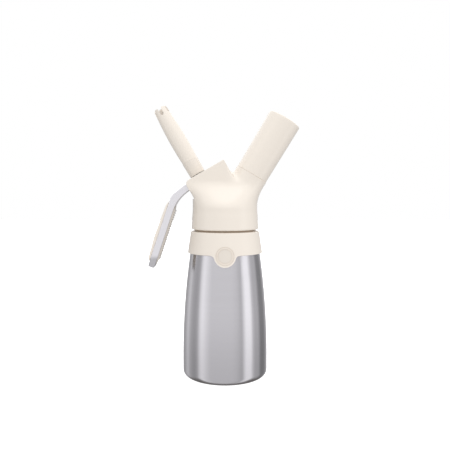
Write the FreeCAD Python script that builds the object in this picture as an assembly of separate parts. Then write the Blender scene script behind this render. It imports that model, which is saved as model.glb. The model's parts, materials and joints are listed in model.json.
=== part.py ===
import FreeCAD, Part
import math
import os
from FreeCAD import Placement, Rotation, Vector

# Whipped cream dispenser: a steel bottle, a collar, and a screw-on head that carries a sliding
# valve with its lever and nozzle on one side and a gas charger in its holder on the other.
# Millimetres, +Z up. The origin is the middle of the bottle's base, and the view with the nozzle
# on the left and the charger on the right is the front, facing -Y.

# ---------------------------------------------------------------- clearances
seat_gap = 0.05           # between pieces that are assembled and then stay put
running_gap = 0.06        # radial, between the valve rod and its guide
contact_gap = 0.05        # between moving faces that meet at rest
moving_gap = 0.4          # between parts that pass each other
pin_gap = 0.08            # radial, between the lever and its pin
washer_gap = 0.3          # radial, between the nozzle washer and the thread that passes through it
nozzle_seat_gap = 0.12    # under the nozzle's foot

# ---------------------------------------------------------------- small edges and cutting shapes
small_rounding = 0.4
fine_rounding = 0.3
cut_over = 1.0            # how far a cutting shape runs past the face it cuts
cut_far = 20.0            # the same, where it cuts everything on that side
trim_far = 60.0           # the same, above the head
arc_join = 0.01           # left straight between the two roundings of a full round end
ridge_sink = 0.25         # how deep the root of a thread's ridge is sunk into its wall
section_points = 24       # of a smooth closed section
blend_steps = 7           # sections of the blend from the head's waist to the end of an arm

# ---------------------------------------------------------------- bottle
bottle_foot_radius = 40.85
bottle_foot_height = 12.0
bottle_top_height = 120.0
bottle_waist_height = 0.625 * bottle_top_height
bottle_waist_draw = 2.2   # how much slimmer the bottle is there than at its foot
bottle_top_draw = 7.15    # and at its top
bottle_waist_radius = bottle_foot_radius - bottle_waist_draw
bottle_top_radius = bottle_foot_radius - bottle_top_draw
bottle_wall = 1.2
base_edge_radius = 6.3
base_groove_inner = 0.49 * bottle_foot_radius
base_groove_width = 10.0
base_groove_outer = base_groove_inner + base_groove_width
base_groove_depth = 1.4
base_groove_rounding = 0.5
shoulder_rise = 18.6      # of the cone that the collar covers
shoulder_draw = 2.5
shoulder_height = bottle_top_height + shoulder_rise
shoulder_radius = bottle_top_radius - shoulder_draw
shoulder_rounding = 4.5
neck_step = 5.2           # from the shoulder's edge in to the neck
neck_length = 18.4
neck_radius = shoulder_radius - neck_step
neck_rounding = 1.2
rim_height = shoulder_height + neck_length

# ---------------------------------------------------------------- bottle thread
neck_pitch = 5.0
neck_ridge_height = 1.3
neck_ridge_width = 2.1
neck_thread_length = 9.0
neck_thread_drop = 2.8    # of the thread's end, below the rim
neck_thread_start = rim_height - neck_thread_drop - neck_thread_length

# ---------------------------------------------------------------- collar
skirt_flare = 2.4         # of the skirt's lower edge, out from the bottle
skirt_bottom_radius = bottle_top_radius + skirt_flare
skirt_bottom_height = bottle_top_height
skirt_top_cover = 1.8     # of the skirt's upper edge, out from the shoulder's
skirt_top_radius = shoulder_radius + skirt_top_cover
skirt_height = 20.75
skirt_top_height = skirt_bottom_height + skirt_height
skirt_wall = 1.7
skirt_edge_rounding = 0.9
skirt_inner_rounding = 1.0
spigot_wall = 1.8
spigot_height = 2.85
tab_radius = 10.2
tab_drop = 0.2            # of the tab's centre, below the skirt's edge
tab_centre_height = skirt_bottom_height - tab_drop
tab_fillet = 3.5
tab_ring_radius = 8.2
tab_inner_ring_radius = 6.6
tab_ring_width = 0.8
tab_ring_depth = 0.4

# ---------------------------------------------------------------- head, outside
head_gap = 1.85           # open line between the collar and the head
head_bottom = skirt_top_height + head_gap
head_foot_inset = 0.5     # of the head's foot, in from the collar's edge
head_foot_radius = skirt_top_radius - head_foot_inset
head_mid_draw = 1.0       # the head narrows by this much to its middle
head_mid_rise = 13.9
head_mid_radius = head_foot_radius - head_mid_draw
head_mid_height = head_bottom + head_mid_rise
head_waist_draw = 1.4     # and by this much to its waist, where the two arms part
head_waist_rise = 22.4
head_waist_radius = head_foot_radius - head_waist_draw
head_waist_height = head_bottom + head_waist_rise
left_step_rise = 29.0     # of the small step on the left side, where the block begins
left_step_height = head_bottom + left_step_rise
left_step_rounding = 0.8
valve_origin_rise = 7.4   # where the valve's axis starts from the bottle's axis
valve_origin_height = head_bottom + valve_origin_rise
valve_lean = 30.0         # degrees to the left of the bottle's axis
charger_origin_rise = 9.9
charger_origin_height = head_bottom + charger_origin_rise
charger_lean = 31.0       # degrees to the right
block_top = 51.8          # distance of the block's flat top along the valve axis
block_left = 14.2
block_right = 28.4
block_half_depth = 15.5
block_corner_rounding = 4.5
block_edge_rounding = 1.2
block_side_length = 10.3
block_over = 1.5          # the blend runs this far past the block's top, which is then cut flat
block_squareness = 8.0    # exponent of the block's rounded-rectangle section
block_settle = 0.78       # share of the lean over which the waist turns into the block
block_upright = 0.3       # share of the lean over which the left side stays upright
socket_settle = 0.82
socket_upright = 0.01
socket_foot_depth = 27.5
socket_foot_inset = 0.5   # the socket's foot stays this far inside the waist
socket_sink = 7.0         # and starts this far below it
socket_radius = 16.1
socket_length = 49.6      # distance of the holder's seam along the charger axis

# ---------------------------------------------------------------- head, inside
thread_ring_wall = 1.7
thread_ring_lift = 1.6    # of the ring's foot, above the head's
thread_ring_end_gap = 0.6 # of its top, below the bottle's rim
thread_ring_bottom = head_bottom + thread_ring_lift
thread_ring_top = rim_height - thread_ring_end_gap
ring_ridge_height = 1.0
ring_thread_length = 6.2
ring_thread_drop = 0.2    # of the ring's ridge below the middle of the neck's groove
gasket_thickness = 2.2
gasket_side_gap = 0.1
gasket_cover = 2.2        # of the gasket over the bottle's rim, inwards
gasket_inner_radius = neck_radius - gasket_cover
valve_boss_wall = 1.6
valve_boss_end = 8.0      # along the valve axis, from its origin
roof_thickness = 1.5      # of the block, over the lever
pocket_depth = 14.5       # of the lever pocket under the roof, over the guide
pocket_shallow_depth = 7.4
pocket_step = 1.0         # where the floor starts to rise to the pivot: beyond the guide
pocket_step_rise = 2.6    # and above the deep floor
mouth_depth = 2.2         # the roof starts this far inside the block's left face
gas_channel_radius = 1.2
gas_channel_offset = 16.5

# ---------------------------------------------------------------- valve
rod_radius = 3.6
rod_bore_radius = 2.0
rod_bottom = 2.6          # all along the valve axis, from its origin
rod_port_level = 13.6
rod_port_radius = 1.3
rod_bore_end = 0.4        # of the rod's bore below its cross ports
rod_stud_radius = 2.5     # of the rod's lower end, which carries the nut
rod_flange_radius = 7.0
rod_flange_thickness = 2.0
rod_top = 62.0
valve_stroke = 3.53
guide_radius = 9.0
guide_bottom = 9.4
guide_top = 35.5
guide_foot_rounding = 0.8
guide_room = 0.5          # of the head's bore above the guide
guide_chamber_radius = 5.8
guide_chamber_top = 17.6
guide_seat_radius = 4.9
guide_seat_thickness = 1.6
spring_well_radius = 7.2
spring_well_bottom = 27.6
spring_wire = 1.0
spring_radius = 5.6
spring_turns = 5
spring_end_gap = 0.15
oring_section = 0.85
oring_side_gap = 0.1
oring_level = 22.4
seal_radius = 6.6
seal_thickness = 3.2
seal_taper = 1.4          # the seal's foot is this much smaller than its seat
seal_rim = 1.0
nut_radius = 4.6
nut_thickness = 2.4       # with its washer
nut_lift = 0.4            # the stud stands this far out of the nut
nut_hexagon = 1.8

# ---------------------------------------------------------------- nozzle and its adapter
adapter_clearance = 0.9   # under the adapter, above the block's top
adapter_length = 14.7
adapter_bottom_radius = 7.65
adapter_top_radius = 8.05
stub_radius = 4.9
stub_length = 9.6
stub_bore_radius = 2.3
nozzle_pitch = 2.0
nozzle_ridge_height = 0.9
nozzle_ridge_width = 0.62
nozzle_thread_length = 5.2
nozzle_thread_lift = 2.4
nozzle_length = 58.6
nozzle_foot_radius = 7.75
nozzle_belly_radius = 8.3
nozzle_belly_level = 20.0
nozzle_tip_radius = 6.2
nozzle_wall = 1.7
nozzle_bore_tip_radius = 4.9
nozzle_bore_taper = 6.0   # length over which the bore widens above the stub
stub_end_gap = 1.2
nozzle_slots = 6
nozzle_slot_width = 2.6
nozzle_slot_depth = 7.0
washer_thickness = 1.0
washer_width = 1.1
washer_side_gap = 0.2

# ---------------------------------------------------------------- lever
lever_width = 18.0
lever_head_thickness = 6.6
lever_arm_thickness = 7.0
lever_grip_thickness = 6.4
lever_arm_drop = 38.4     # degrees below the horizontal
lever_grip_lean = 18.6    # degrees from the vertical
lever_bend_reach = 17.2   # of the outer bend, from the block's left face
lever_bend_drop = 2.2     # of the outer bend, below the lever's top in the block
lever_grip_length = 72.0
lever_outer_bend_radius = 12.0
lever_inner_bend_radius = 34.0
lever_neck_radius = 12.0
lever_tip_rounding = 1.5
lever_edge_rounding = 0.7
lever_roof_gap = 0.3
lever_hole_radius = 5.2
pivot_offset = 22.5       # from the valve axis to the lever's pivot
pin_radius = 1.6
pin_blind_wall = 2.4
bump_radius = 1.5         # the two rounded ribs that press the rod's flange
bump_length = 2.6
bump_edge = 1.0           # from the bar's side to a rib's end
pin_end_gap = 0.3
pin_sink = 1.3            # of the pin's end below the back face
grip_inset = 0.4         # the grips are this much narrower than the bar on each side

# ---------------------------------------------------------------- lever grips
outer_grip_start = 6.2    # along the bar, from its outer bend
outer_grip_end = 67.0
outer_grip_shoulder = 1.9 # thicknesses, and the lengths between them
outer_grip_shoulder_length = 4.5
outer_grip_shoulder_rounding = 4.0
outer_grip_crown = 3.5
outer_grip_crown_shift = 5.0
outer_grip_crown_rounding = 60.0
outer_grip_foot = 2.2
outer_grip_foot_length = 6.0
outer_grip_foot_rounding = 8.0
inner_grip_start = 9.0
inner_grip_end = 68.6
inner_grip_base = 1.6
inner_grip_rib_height = 0.75
inner_grip_rib_pitch = 1.6
inner_grip_rib_shares = (0.3, 0.65, 0.95)  # of the pitch, where a rib's corners are
inner_grip_ramp = 4.0
inner_grip_relief = 0.3   # gap to the bar where the bar starts to bend
peg_radius = 2.0
peg_low_level = 54.0      # along the bar, from its outer bend
peg_high_level = 20.0
peg_levels = (peg_high_level, peg_low_level)
peg_depth = 1.3           # into the outer grip

# ---------------------------------------------------------------- charger, port and holder
port_root_radius = 10.6
port_flange_radius = 12.4
port_depth = 12.0         # into the head
port_post_length = 13.0
port_bore_radius = 9.4
port_neck_bore_radius = 4.8
port_bore_lift = 2.5      # where the wide bore ends, above the charger's neck
port_bore_taper = 4.5
port_flange_recess = 0.3
holder_pitch = 3.0
holder_ridge_height = 1.0
holder_ridge_width = 1.1
holder_thread_length = 6.6
holder_thread_lift = 3.2
sleeve_thread_length = 5.4
piercer_radius = 0.9
piercer_length = 4.4
piercer_point = 1.5
piercer_foot = 1.6        # above the port's bottom
charger_seal_thickness = 1.2
charger_seal_room = 0.3
charger_seal_bore = 1.9
charger_radius = 9.0
charger_length = 65.5
charger_neck_radius = 4.3
charger_neck_length = 8.0
charger_neck_rounding = 2.0
charger_shoulder_length = 6.5
charger_shoulder_rounding = 5.0
charger_wall = 1.6
charger_hole_radius = 1.4
holder_seam_gap = 0.4
holder_length = 63.4
holder_mouth_radius = 15.7
holder_middle_radius = 16.05
holder_end_radius = 16.4
holder_middle_level = 30.0
holder_end_wall = 2.4
holder_end_rounding = 1.2
sleeve_wall = 1.3
sleeve_floor = 1.0
sleeve_foot = 0.4         # the sleeve starts this far inside the holder's mouth
sleeve_thread_room = 0.6
check_valve_radius = 3.6
check_valve_thickness = 1.2
check_valve_stem_radius = 0.9
check_valve_stem_length = 4.0

# ---------------------------------------------------------------- frames of the two arms
valve_frame = Placement(Vector(0, 0, valve_origin_height), Rotation(Vector(0, 1, 0), -valve_lean))
charger_frame = Placement(Vector(0, 0, charger_origin_height), Rotation(Vector(0, 1, 0), charger_lean))
front = Vector(0, -1, 0)

# ---------------------------------------------------------------- levels that follow from the sizes
neck_crest_radius = neck_radius + neck_ridge_height
thread_ring_inner = neck_crest_radius + moving_gap
spigot_radius = thread_ring_inner + spigot_wall
thread_ring_outer = thread_ring_inner + thread_ring_wall
gasket_bottom = rim_height + contact_gap
head_ceiling = gasket_bottom + gasket_thickness + contact_gap
lever_top = block_top - roof_thickness - lever_roof_gap
lever_bottom = lever_top - lever_head_thickness
lever_middle = (lever_top + lever_bottom) / 2
flange_top = lever_bottom - bump_radius - contact_gap
flange_bottom = flange_top - rod_flange_thickness
adapter_bottom = block_top + adapter_clearance
adapter_top = adapter_bottom + adapter_length
washer_inner = stub_radius + nozzle_ridge_height + washer_gap
lever_reach = pivot_offset + lever_head_thickness / 2
port_bottom = socket_length - port_depth
holder_bottom = socket_length + holder_seam_gap
holder_top = socket_length + holder_length
charger_end = holder_top - holder_end_wall - sleeve_floor - moving_gap
charger_tip = charger_end - charger_length
charger_neck_top = charger_tip + charger_neck_length
charger_seat = charger_tip - charger_seal_thickness - charger_seal_room
sleeve_inner_radius = charger_radius + moving_gap
sleeve_thread_radius = port_root_radius + holder_ridge_height + moving_gap
sleeve_outer_radius = sleeve_thread_radius + sleeve_wall


# ---------------------------------------------------------------- helpers
def save(shape, node):
    shape.exportStep("parts/" + node + ".step")


def corner_arc(before, corner, after, radius):
    """The two tangent points and the middle of the arc that rounds a corner."""
    back = (before - corner).normalize()
    ahead = (after - corner).normalize()
    half = back.getAngle(ahead) / 2
    reach = radius / math.tan(half)
    middle = (back + ahead).normalize()
    arc_middle = corner + middle * (radius / math.sin(half) - radius)
    return corner + back * reach, arc_middle, corner + ahead * reach


def outline_wire(points):
    """A closed wire in the XZ plane. A point is (x, z) or (x, z, rounding radius)."""
    corners = [Vector(point[0], 0, point[1]) for point in points]
    radii = [point[2] if len(point) > 2 else 0 for point in points]
    edges = []
    stops = []
    for index, corner in enumerate(corners):
        if radii[index] > 0:
            ahead = corners[(index + 1) % len(corners)]
            stops.append(corner_arc(corners[index - 1], corner, ahead, radii[index]))
        else:
            stops.append((corner, None, corner))
    for index, (start, middle, end) in enumerate(stops):
        if middle is not None:
            edges.append(Part.Arc(start, middle, end).toShape())
        following = stops[(index + 1) % len(stops)][0]
        if end.distanceToPoint(following) > 1e-6:
            edges.append(Part.LineSegment(end, following).toShape())
    return Part.Wire(edges)


def turned(points):
    """A solid of revolution about Z from an outline of (radius, z) points."""
    return Part.Face(outline_wire(points)).revolve(Vector(0, 0, 0), Vector(0, 0, 1), 360)


def plate(points, half_width, centre=0.0):
    """An outline in XZ, extruded along Y on both sides of a centre plane."""
    face = Part.Face(outline_wire(points))
    face.translate(Vector(0, centre - half_width, 0))
    return face.extrude(Vector(0, 2 * half_width, 0))


def rod(radius, bottom, top):
    return Part.makeCylinder(radius, top - bottom, Vector(0, 0, bottom))


def tube(outer, inner, bottom, top):
    return rod(outer, bottom, top).cut(rod(inner, bottom - cut_over, top + cut_over))


def in_frame(shape, frame):
    """A copy of a shape modelled along Z, moved to one of the arms' axes."""
    moved = shape.copy()
    moved.Placement = frame.multiply(moved.Placement)
    return moved


def helix_ridge(root_radius, height, width, pitch, bottom, length, outside, phase=0.0):
    """A thread ridge of trapezoid section: outside a shaft, or inside a hole when outside is false."""
    step = 1 if outside else -1
    crest = root_radius + step * height
    base = root_radius - step * ridge_sink
    half_base = width / 2 + height / 4
    half_crest = width / 2 - height / 4
    corners = [
        Vector(base, 0, bottom - half_base),
        Vector(crest, 0, bottom - half_crest),
        Vector(crest, 0, bottom + half_crest),
        Vector(base, 0, bottom + half_base),
    ]
    section = Part.makePolygon(corners + [corners[0]])
    path = Part.makeHelix(pitch, length, root_radius)
    path.translate(Vector(0, 0, bottom))
    ridge = Part.Wire(path.Edges).makePipeShell([section], True, True)
    ridge.rotate(Vector(0, 0, 0), Vector(0, 0, 1), phase)
    return ridge


def valve_point(across, along):
    """A point of the valve's frame as world (x, z)."""
    world = valve_frame.multVec(Vector(across, 0, along))
    return world.x, world.z


def line_meet(point, direction, other_point, other_direction):
    """Where two lines in XZ cross, as (x, z)."""
    cross = direction[0] * other_direction[1] - direction[1] * other_direction[0]
    gap_x = other_point[0] - point[0]
    gap_z = other_point[1] - point[1]
    reach = (gap_x * other_direction[1] - gap_z * other_direction[0]) / cross
    return point[0] + direction[0] * reach, point[1] + direction[1] * reach


# ---------------------------------------------------------------- bottle and collar
def bottle_outline(inset):
    """The bottle's profile, moved inwards by inset: outside at 0, inside at the wall."""
    neck = neck_radius - inset
    foot = bottle_foot_radius - inset
    base_corner = bottle_foot_radius - base_edge_radius
    edge = base_edge_radius - inset
    lift = bottle_foot_height - base_edge_radius
    points = [Vector(0, 0, inset), Vector(base_corner, 0, inset)]
    bend = math.radians(45)
    edge_middle = Vector(base_corner + edge * math.sin(bend), 0, base_edge_radius - edge * math.cos(bend))
    edges = [
        Part.LineSegment(points[0], points[1]).toShape(),
        Part.Arc(points[1], edge_middle, Vector(foot, 0, base_edge_radius)).toShape(),
    ]
    foot_top = Vector(foot, 0, base_edge_radius + lift)
    edges.append(Part.LineSegment(Vector(foot, 0, base_edge_radius), foot_top).toShape())
    waist = Vector(bottle_waist_radius - inset, 0, bottle_waist_height)
    top = Vector(bottle_top_radius - inset, 0, bottle_top_height)
    edges.append(Part.Arc(foot_top, waist, top).toShape())
    shoulder_level = shoulder_height - inset
    corner = Vector(shoulder_radius - inset, 0, shoulder_level)
    neck_foot = Vector(neck, 0, shoulder_level)
    rounding = shoulder_rounding - inset
    start, middle, end = corner_arc(top, corner, neck_foot, rounding)
    edges.append(Part.LineSegment(top, start).toShape())
    edges.append(Part.Arc(start, middle, end).toShape())
    rim = Vector(neck, 0, rim_height + inset)
    start, middle, after = corner_arc(end, neck_foot, rim, neck_rounding)
    edges.append(Part.LineSegment(end, start).toShape())
    edges.append(Part.Arc(start, middle, after).toShape())
    axis_top = Vector(0, 0, rim_height + inset)
    edges.append(Part.LineSegment(after, rim).toShape())
    edges.append(Part.LineSegment(rim, axis_top).toShape())
    edges.append(Part.LineSegment(axis_top, points[0]).toShape())
    return Part.Wire(edges)


def make_bottle():
    axis = Vector(0, 0, 1)
    centre = Vector(0, 0, 0)
    outside = Part.Face(bottle_outline(0)).revolve(centre, axis, 360)
    inside = Part.Face(bottle_outline(bottle_wall)).revolve(centre, axis, 360)
    groove = turned([
        (base_groove_inner, -cut_over),
        (base_groove_outer, -cut_over),
        (base_groove_outer - base_groove_depth, base_groove_depth, base_groove_rounding),
        (base_groove_inner + base_groove_depth, base_groove_depth, base_groove_rounding),
    ])
    bead_top = base_groove_depth + bottle_wall
    floor_bead = turned([
        (base_groove_inner - bottle_wall, bottle_wall / 2),
        (base_groove_outer + bottle_wall, bottle_wall / 2),
        (base_groove_outer - base_groove_depth, bead_top, base_groove_rounding),
        (base_groove_inner + base_groove_depth, bead_top, base_groove_rounding),
    ])
    shell = outside.cut(inside).fuse(floor_bead).cut(groove)
    ridge = helix_ridge(neck_radius, neck_ridge_height, neck_ridge_width, neck_pitch,
                        neck_thread_start, neck_thread_length, True)
    return shell.fuse(ridge).removeSplitter()


def skirt_radius(height):
    """Outer radius of the collar's cone at a height."""
    share = (height - skirt_bottom_height) / (skirt_top_height - skirt_bottom_height)
    return skirt_bottom_radius + share * (skirt_top_radius - skirt_bottom_radius)


def cone_shell(outset, inset, bottom, top):
    """A band of the collar's cone, from inset inside its surface to outset outside it."""
    return turned([
        (skirt_radius(bottom) - inset, bottom),
        (skirt_radius(bottom) + outset, bottom),
        (skirt_radius(top) + outset, top),
        (skirt_radius(top) - inset, top),
    ])


def tab_outline():
    """The round tab under the skirt's front edge, with a fillet on each side."""
    fillet_z = skirt_bottom_height - tab_fillet
    fillet_drop = tab_centre_height - fillet_z
    fillet_x = math.sqrt((tab_radius + tab_fillet) ** 2 - fillet_drop ** 2)
    share = tab_radius / (tab_radius + tab_fillet)
    touch_x = fillet_x * share
    touch_z = tab_centre_height - fillet_drop * share
    middle_angle = (math.radians(90) + math.atan2(fillet_drop, fillet_x)) / 2
    middle_x = fillet_x - tab_fillet * math.cos(middle_angle)
    middle_z = fillet_z + tab_fillet * math.sin(middle_angle)
    right = Vector(fillet_x, 0, skirt_bottom_height)
    left = Vector(-fillet_x, 0, skirt_bottom_height)
    right_touch = Vector(touch_x, 0, touch_z)
    left_touch = Vector(-touch_x, 0, touch_z)
    bottom = Vector(0, 0, tab_centre_height - tab_radius)
    above = Vector(0, 0, cut_over)
    return Part.Wire([
        Part.Arc(right, Vector(middle_x, 0, middle_z), right_touch).toShape(),
        Part.Arc(right_touch, bottom, left_touch).toShape(),
        Part.Arc(left_touch, Vector(-middle_x, 0, middle_z), left).toShape(),
        Part.LineSegment(left, left + above).toShape(),
        Part.LineSegment(left + above, right + above).toShape(),
        Part.LineSegment(right + above, right).toShape(),
    ])


def make_collar():
    spigot_top = skirt_top_height + spigot_height
    spigot_inner = neck_crest_radius + moving_gap
    seat = shoulder_height + seat_gap
    inner_top = skirt_radius(seat) - skirt_wall
    ring = turned([
        (skirt_bottom_radius, skirt_bottom_height, small_rounding),
        (skirt_top_radius, skirt_top_height, skirt_edge_rounding),
        (spigot_radius, skirt_top_height),
        (spigot_radius, spigot_top, fine_rounding),
        (spigot_inner, spigot_top),
        (spigot_inner, seat),
        (inner_top, seat, skirt_inner_rounding),
        (skirt_bottom_radius - skirt_wall, skirt_bottom_height),
    ])
    start = front * (skirt_bottom_radius + cut_far)
    length = cut_far + skirt_bottom_radius / 2
    tab_face = Part.Face(tab_outline())
    tab_face.translate(start)
    band_bottom = tab_centre_height - tab_radius - cut_over
    band_top = tab_centre_height + tab_radius + cut_over
    tab_band = cone_shell(0, skirt_wall, band_bottom, skirt_bottom_height + 2 * cut_over)
    collar = ring.fuse(tab_face.extrude(-front * length).common(tab_band))
    start = start + Vector(0, 0, tab_centre_height)
    for radius in (tab_ring_radius, tab_inner_ring_radius):
        outer = radius + tab_ring_width / 2
        disc = Part.makeCylinder(outer, length, start, -front)
        core = Part.makeCylinder(outer - tab_ring_width, length, start, -front)
        groove_band = cone_shell(2 * cut_over, tab_ring_depth, band_bottom, band_top)
        collar = collar.cut(disc.cut(core).common(groove_band))
    return collar.removeSplitter()


# ---------------------------------------------------------------- head
def smooth_share(value):
    """0 to 1 with level ends."""
    held = min(max(value, 0.0), 1.0)
    return held * held * (3 - 2 * held)


def fan_section(hinge_x, side, angle, near, far, half_depth, squareness):
    """A closed section in a plane that is turned about a hinge line at the head's waist level."""
    turn = math.radians(angle)
    middle = (near + far) / 2
    half = (far - near) / 2
    points = []
    for index in range(section_points):
        phi = 2 * math.pi * index / section_points
        cosine = math.cos(phi)
        sine = math.sin(phi)
        power = 2 / squareness
        across = math.copysign(abs(cosine) ** power, cosine) * half
        depth = math.copysign(abs(sine) ** power, sine) * half_depth
        reach = middle + across
        x = hinge_x + side * reach * math.cos(turn)
        z = head_waist_height + reach * math.sin(turn)
        points.append(Vector(x, depth, z))
    curve = Part.BSplineCurve()
    curve.interpolate(points, True)
    return Part.Wire(curve.toShape())


def fan_hinge(frame, level):
    """Where the plane across an arm's axis at a level meets the waist level, as x."""
    axis = frame.Rotation.multVec(Vector(0, 0, 1))
    point = frame.multVec(Vector(0, 0, level))
    return point.x + axis.z * (point.z - head_waist_height) / axis.x


def near_reach(foot, top, lean, linear, upright):
    """How far the near side is from the hinge: first straight up, then along to the arm's own side."""
    leaning = foot + (top - foot) * linear
    straight = foot / math.cos(math.radians(lean * linear))
    return straight + (leaning - straight) * smooth_share(linear / upright - 1)


def blend_arm(frame, lean, level, side, foot, top, squareness, settle, upright):
    """Sections of the smooth form that grows out of the head's waist into one arm.

    foot is (half width, half depth) and top is (centre, half width, half depth). settle is the
    share of the lean where the arm's own section is reached on the far side and in depth, and
    upright the share over which the near side goes straight up.
    """
    hinge_x = fan_hinge(frame, level)
    near_foot = abs(hinge_x) - foot[0]
    far_foot = abs(hinge_x) + foot[0]
    sections = []
    for step in range(blend_steps + 1):
        linear = step / blend_steps
        share = smooth_share(linear / settle)
        sections.append(fan_section(
            hinge_x, side, lean * linear,
            near_reach(near_foot, top[0] - top[1], lean, linear, upright),
            far_foot + (top[0] + top[1] - far_foot) * share,
            foot[1] + (top[2] - foot[1]) * share,
            2 + (squareness - 2) * share ** 2,
        ))
    return sections


def fan_reach(frame, level, across):
    """Distance of a point of an arm's frame from the hinge line of that arm's fan."""
    point = frame.multVec(Vector(across, 0, level))
    return math.hypot(point.x - fan_hinge(frame, level), point.z - head_waist_height)


def ring_section(radius, height):
    points = []
    for index in range(section_points):
        phi = 2 * math.pi * index / section_points
        points.append(Vector(radius * math.cos(phi), radius * math.sin(phi), height))
    curve = Part.BSplineCurve()
    curve.interpolate(points, True)
    return Part.Wire(curve.toShape())


def block_trim():
    """What is cut away around the block's flat top, flat left face and right face."""
    left_x, left_z = valve_point(-block_left, 0)
    step_x = left_x - (left_step_height - left_z) * math.tan(math.radians(valve_lean))
    side_end = block_top - block_side_length
    return plate([
        (step_x, left_step_height, left_step_rounding),
        valve_point(-block_left, block_top) + (block_corner_rounding,),
        valve_point(block_right, block_top) + (block_edge_rounding,),
        valve_point(block_right, side_end),
        valve_point(trim_far, side_end + trim_far),
        valve_point(-trim_far, block_top + trim_far),
        (-2 * trim_far, left_step_height + trim_far),
        (-2 * trim_far, left_step_height),
    ], head_foot_radius + cut_far)


def make_head_outside():
    low = [
        ring_section(head_foot_radius, head_bottom),
        ring_section((head_foot_radius + head_mid_radius) / 2, (head_bottom + head_mid_height) / 2),
        ring_section(head_mid_radius, head_mid_height),
    ]
    level = block_top + block_over
    half = (block_right + block_left) / 2
    centre = fan_reach(valve_frame, level, block_right - half)
    foot = (head_waist_radius, head_waist_radius)
    top = (centre - block_over / 2, half + block_over / 2, block_half_depth)
    upper = blend_arm(valve_frame, valve_lean, level, 1, foot, top,
                      block_squareness, block_settle, block_upright)
    body = Part.makeLoft(low + upper, True, False)
    foot = (head_waist_radius - socket_foot_inset, socket_foot_depth)
    top = (fan_reach(charger_frame, socket_length, 0), socket_radius, socket_radius)
    upper = blend_arm(charger_frame, charger_lean, socket_length, -1, foot, top,
                      2, socket_settle, socket_upright)
    root = upper[0].copy()
    root.translate(Vector(0, 0, -socket_sink))
    socket = Part.makeLoft([root] + upper, True, False)
    return body.cut(block_trim()).fuse(socket)


def neck_cavity():
    """The room for the bottle's neck, the thread ring and the collar's spigot."""
    ring_room = thread_ring_outer + seat_gap
    spigot_room = spigot_radius + moving_gap
    bottom = head_bottom - cut_over
    return turned([
        (0, bottom),
        (spigot_room, bottom),
        (spigot_room, thread_ring_bottom),
        (ring_room, thread_ring_bottom),
        (ring_room, head_ceiling),
        (0, head_ceiling),
    ])


def lever_pocket():
    """The lever's room in the block, in the valve's frame: open to the left, shallow at the pivot."""
    roof = block_top - roof_thickness
    half_width = lever_width / 2 + moving_gap
    outside = -block_left - cut_far
    floor = roof - pocket_depth
    end = lever_reach + moving_gap
    room = plate([
        (outside, roof),
        (end, roof),
        (end, roof - pocket_shallow_depth),
        (guide_radius + pocket_step, floor + pocket_step_rise),
        (guide_radius, floor),
        (-guide_radius, floor),
        (outside, floor),
    ], half_width)
    mouth = plate([
        (outside, roof - cut_over),
        (-block_left + mouth_depth, roof - cut_over),
        (-block_left + mouth_depth, block_top + cut_far),
        (outside, block_top + cut_far),
    ], half_width)
    return room.fuse(mouth)


def make_head_shell():
    bore = guide_radius + seat_gap
    boss = rod(bore + valve_boss_wall, valve_boss_end, guide_chamber_top)
    shell = make_head_outside().cut(neck_cavity()).fuse(in_frame(boss, valve_frame))
    roof = block_top - roof_thickness
    for room in (
        rod(bore, valve_boss_end - cut_over, guide_top + guide_room + cut_over),
        lever_pocket(),
        rod(adapter_top_radius + moving_gap, roof - cut_over, block_top + cut_over),
        pin_hole(pin_radius + seat_gap),
    ):
        shell = shell.cut(in_frame(room, valve_frame))
    port_room = rod(port_flange_radius + seat_gap, port_bottom, socket_length + cut_over)
    shell = shell.cut(in_frame(port_room, charger_frame))
    channel = rod(gas_channel_radius, head_ceiling - cut_over, gas_channel_top())
    channel.translate(Vector(gas_channel_offset, 0, 0))
    return shell.cut(channel)


def gas_channel_top():
    """Height where the vertical gas channel reaches the bottom of the charger port."""
    axis = charger_frame.Rotation.multVec(Vector(0, 0, 1))
    point = charger_frame.multVec(Vector(0, 0, port_bottom))
    return point.z - (gas_channel_offset - point.x) * axis.x / axis.z + cut_over


def cross_pin(radius, start, end):
    """A cylinder along Y through the lever's pivot, in the valve's frame."""
    base = Vector(pivot_offset, start, lever_middle)
    return Part.makeCylinder(radius, end - start, base, Vector(0, 1, 0))


def pin_hole(radius):
    """The blind cross hole for the lever's pin, open at the back face."""
    return cross_pin(radius, -block_half_depth + pin_blind_wall, block_half_depth + cut_far)


def make_thread_ring():
    ring = tube(thread_ring_outer, thread_ring_inner, thread_ring_bottom + seat_gap, thread_ring_top)
    start = neck_thread_start + neck_pitch / 2 - ring_thread_drop
    ridge = helix_ridge(thread_ring_inner, ring_ridge_height, neck_ridge_width, neck_pitch,
                        start, ring_thread_length, False)
    return ring.fuse(ridge)


def make_head_gasket():
    outer = thread_ring_outer - gasket_side_gap
    return tube(outer, gasket_inner_radius, gasket_bottom, gasket_bottom + gasket_thickness)


# ---------------------------------------------------------------- valve
def make_valve_guide():
    bore = rod_radius + running_gap
    groove = oring_section + oring_side_gap
    guide = turned([
        (guide_seat_radius, guide_bottom, small_rounding),
        (guide_radius, guide_bottom, guide_foot_rounding),
        (guide_radius, guide_top),
        (spring_well_radius, guide_top),
        (spring_well_radius, spring_well_bottom),
        (bore, spring_well_bottom),
        (bore, guide_chamber_top),
        (guide_chamber_radius, guide_chamber_top),
        (guide_chamber_radius, guide_bottom + guide_seat_thickness),
        (guide_seat_radius, guide_bottom + guide_seat_thickness),
    ])
    room = rod(bore + 2 * oring_section, oring_level - groove, oring_level + groove)
    return in_frame(guide.cut(room), valve_frame)


def make_rod_o_ring():
    middle_radius = rod_radius + running_gap + oring_section
    ring = Part.makeTorus(middle_radius, oring_section, Vector(0, 0, oring_level))
    return in_frame(ring, valve_frame)


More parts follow.
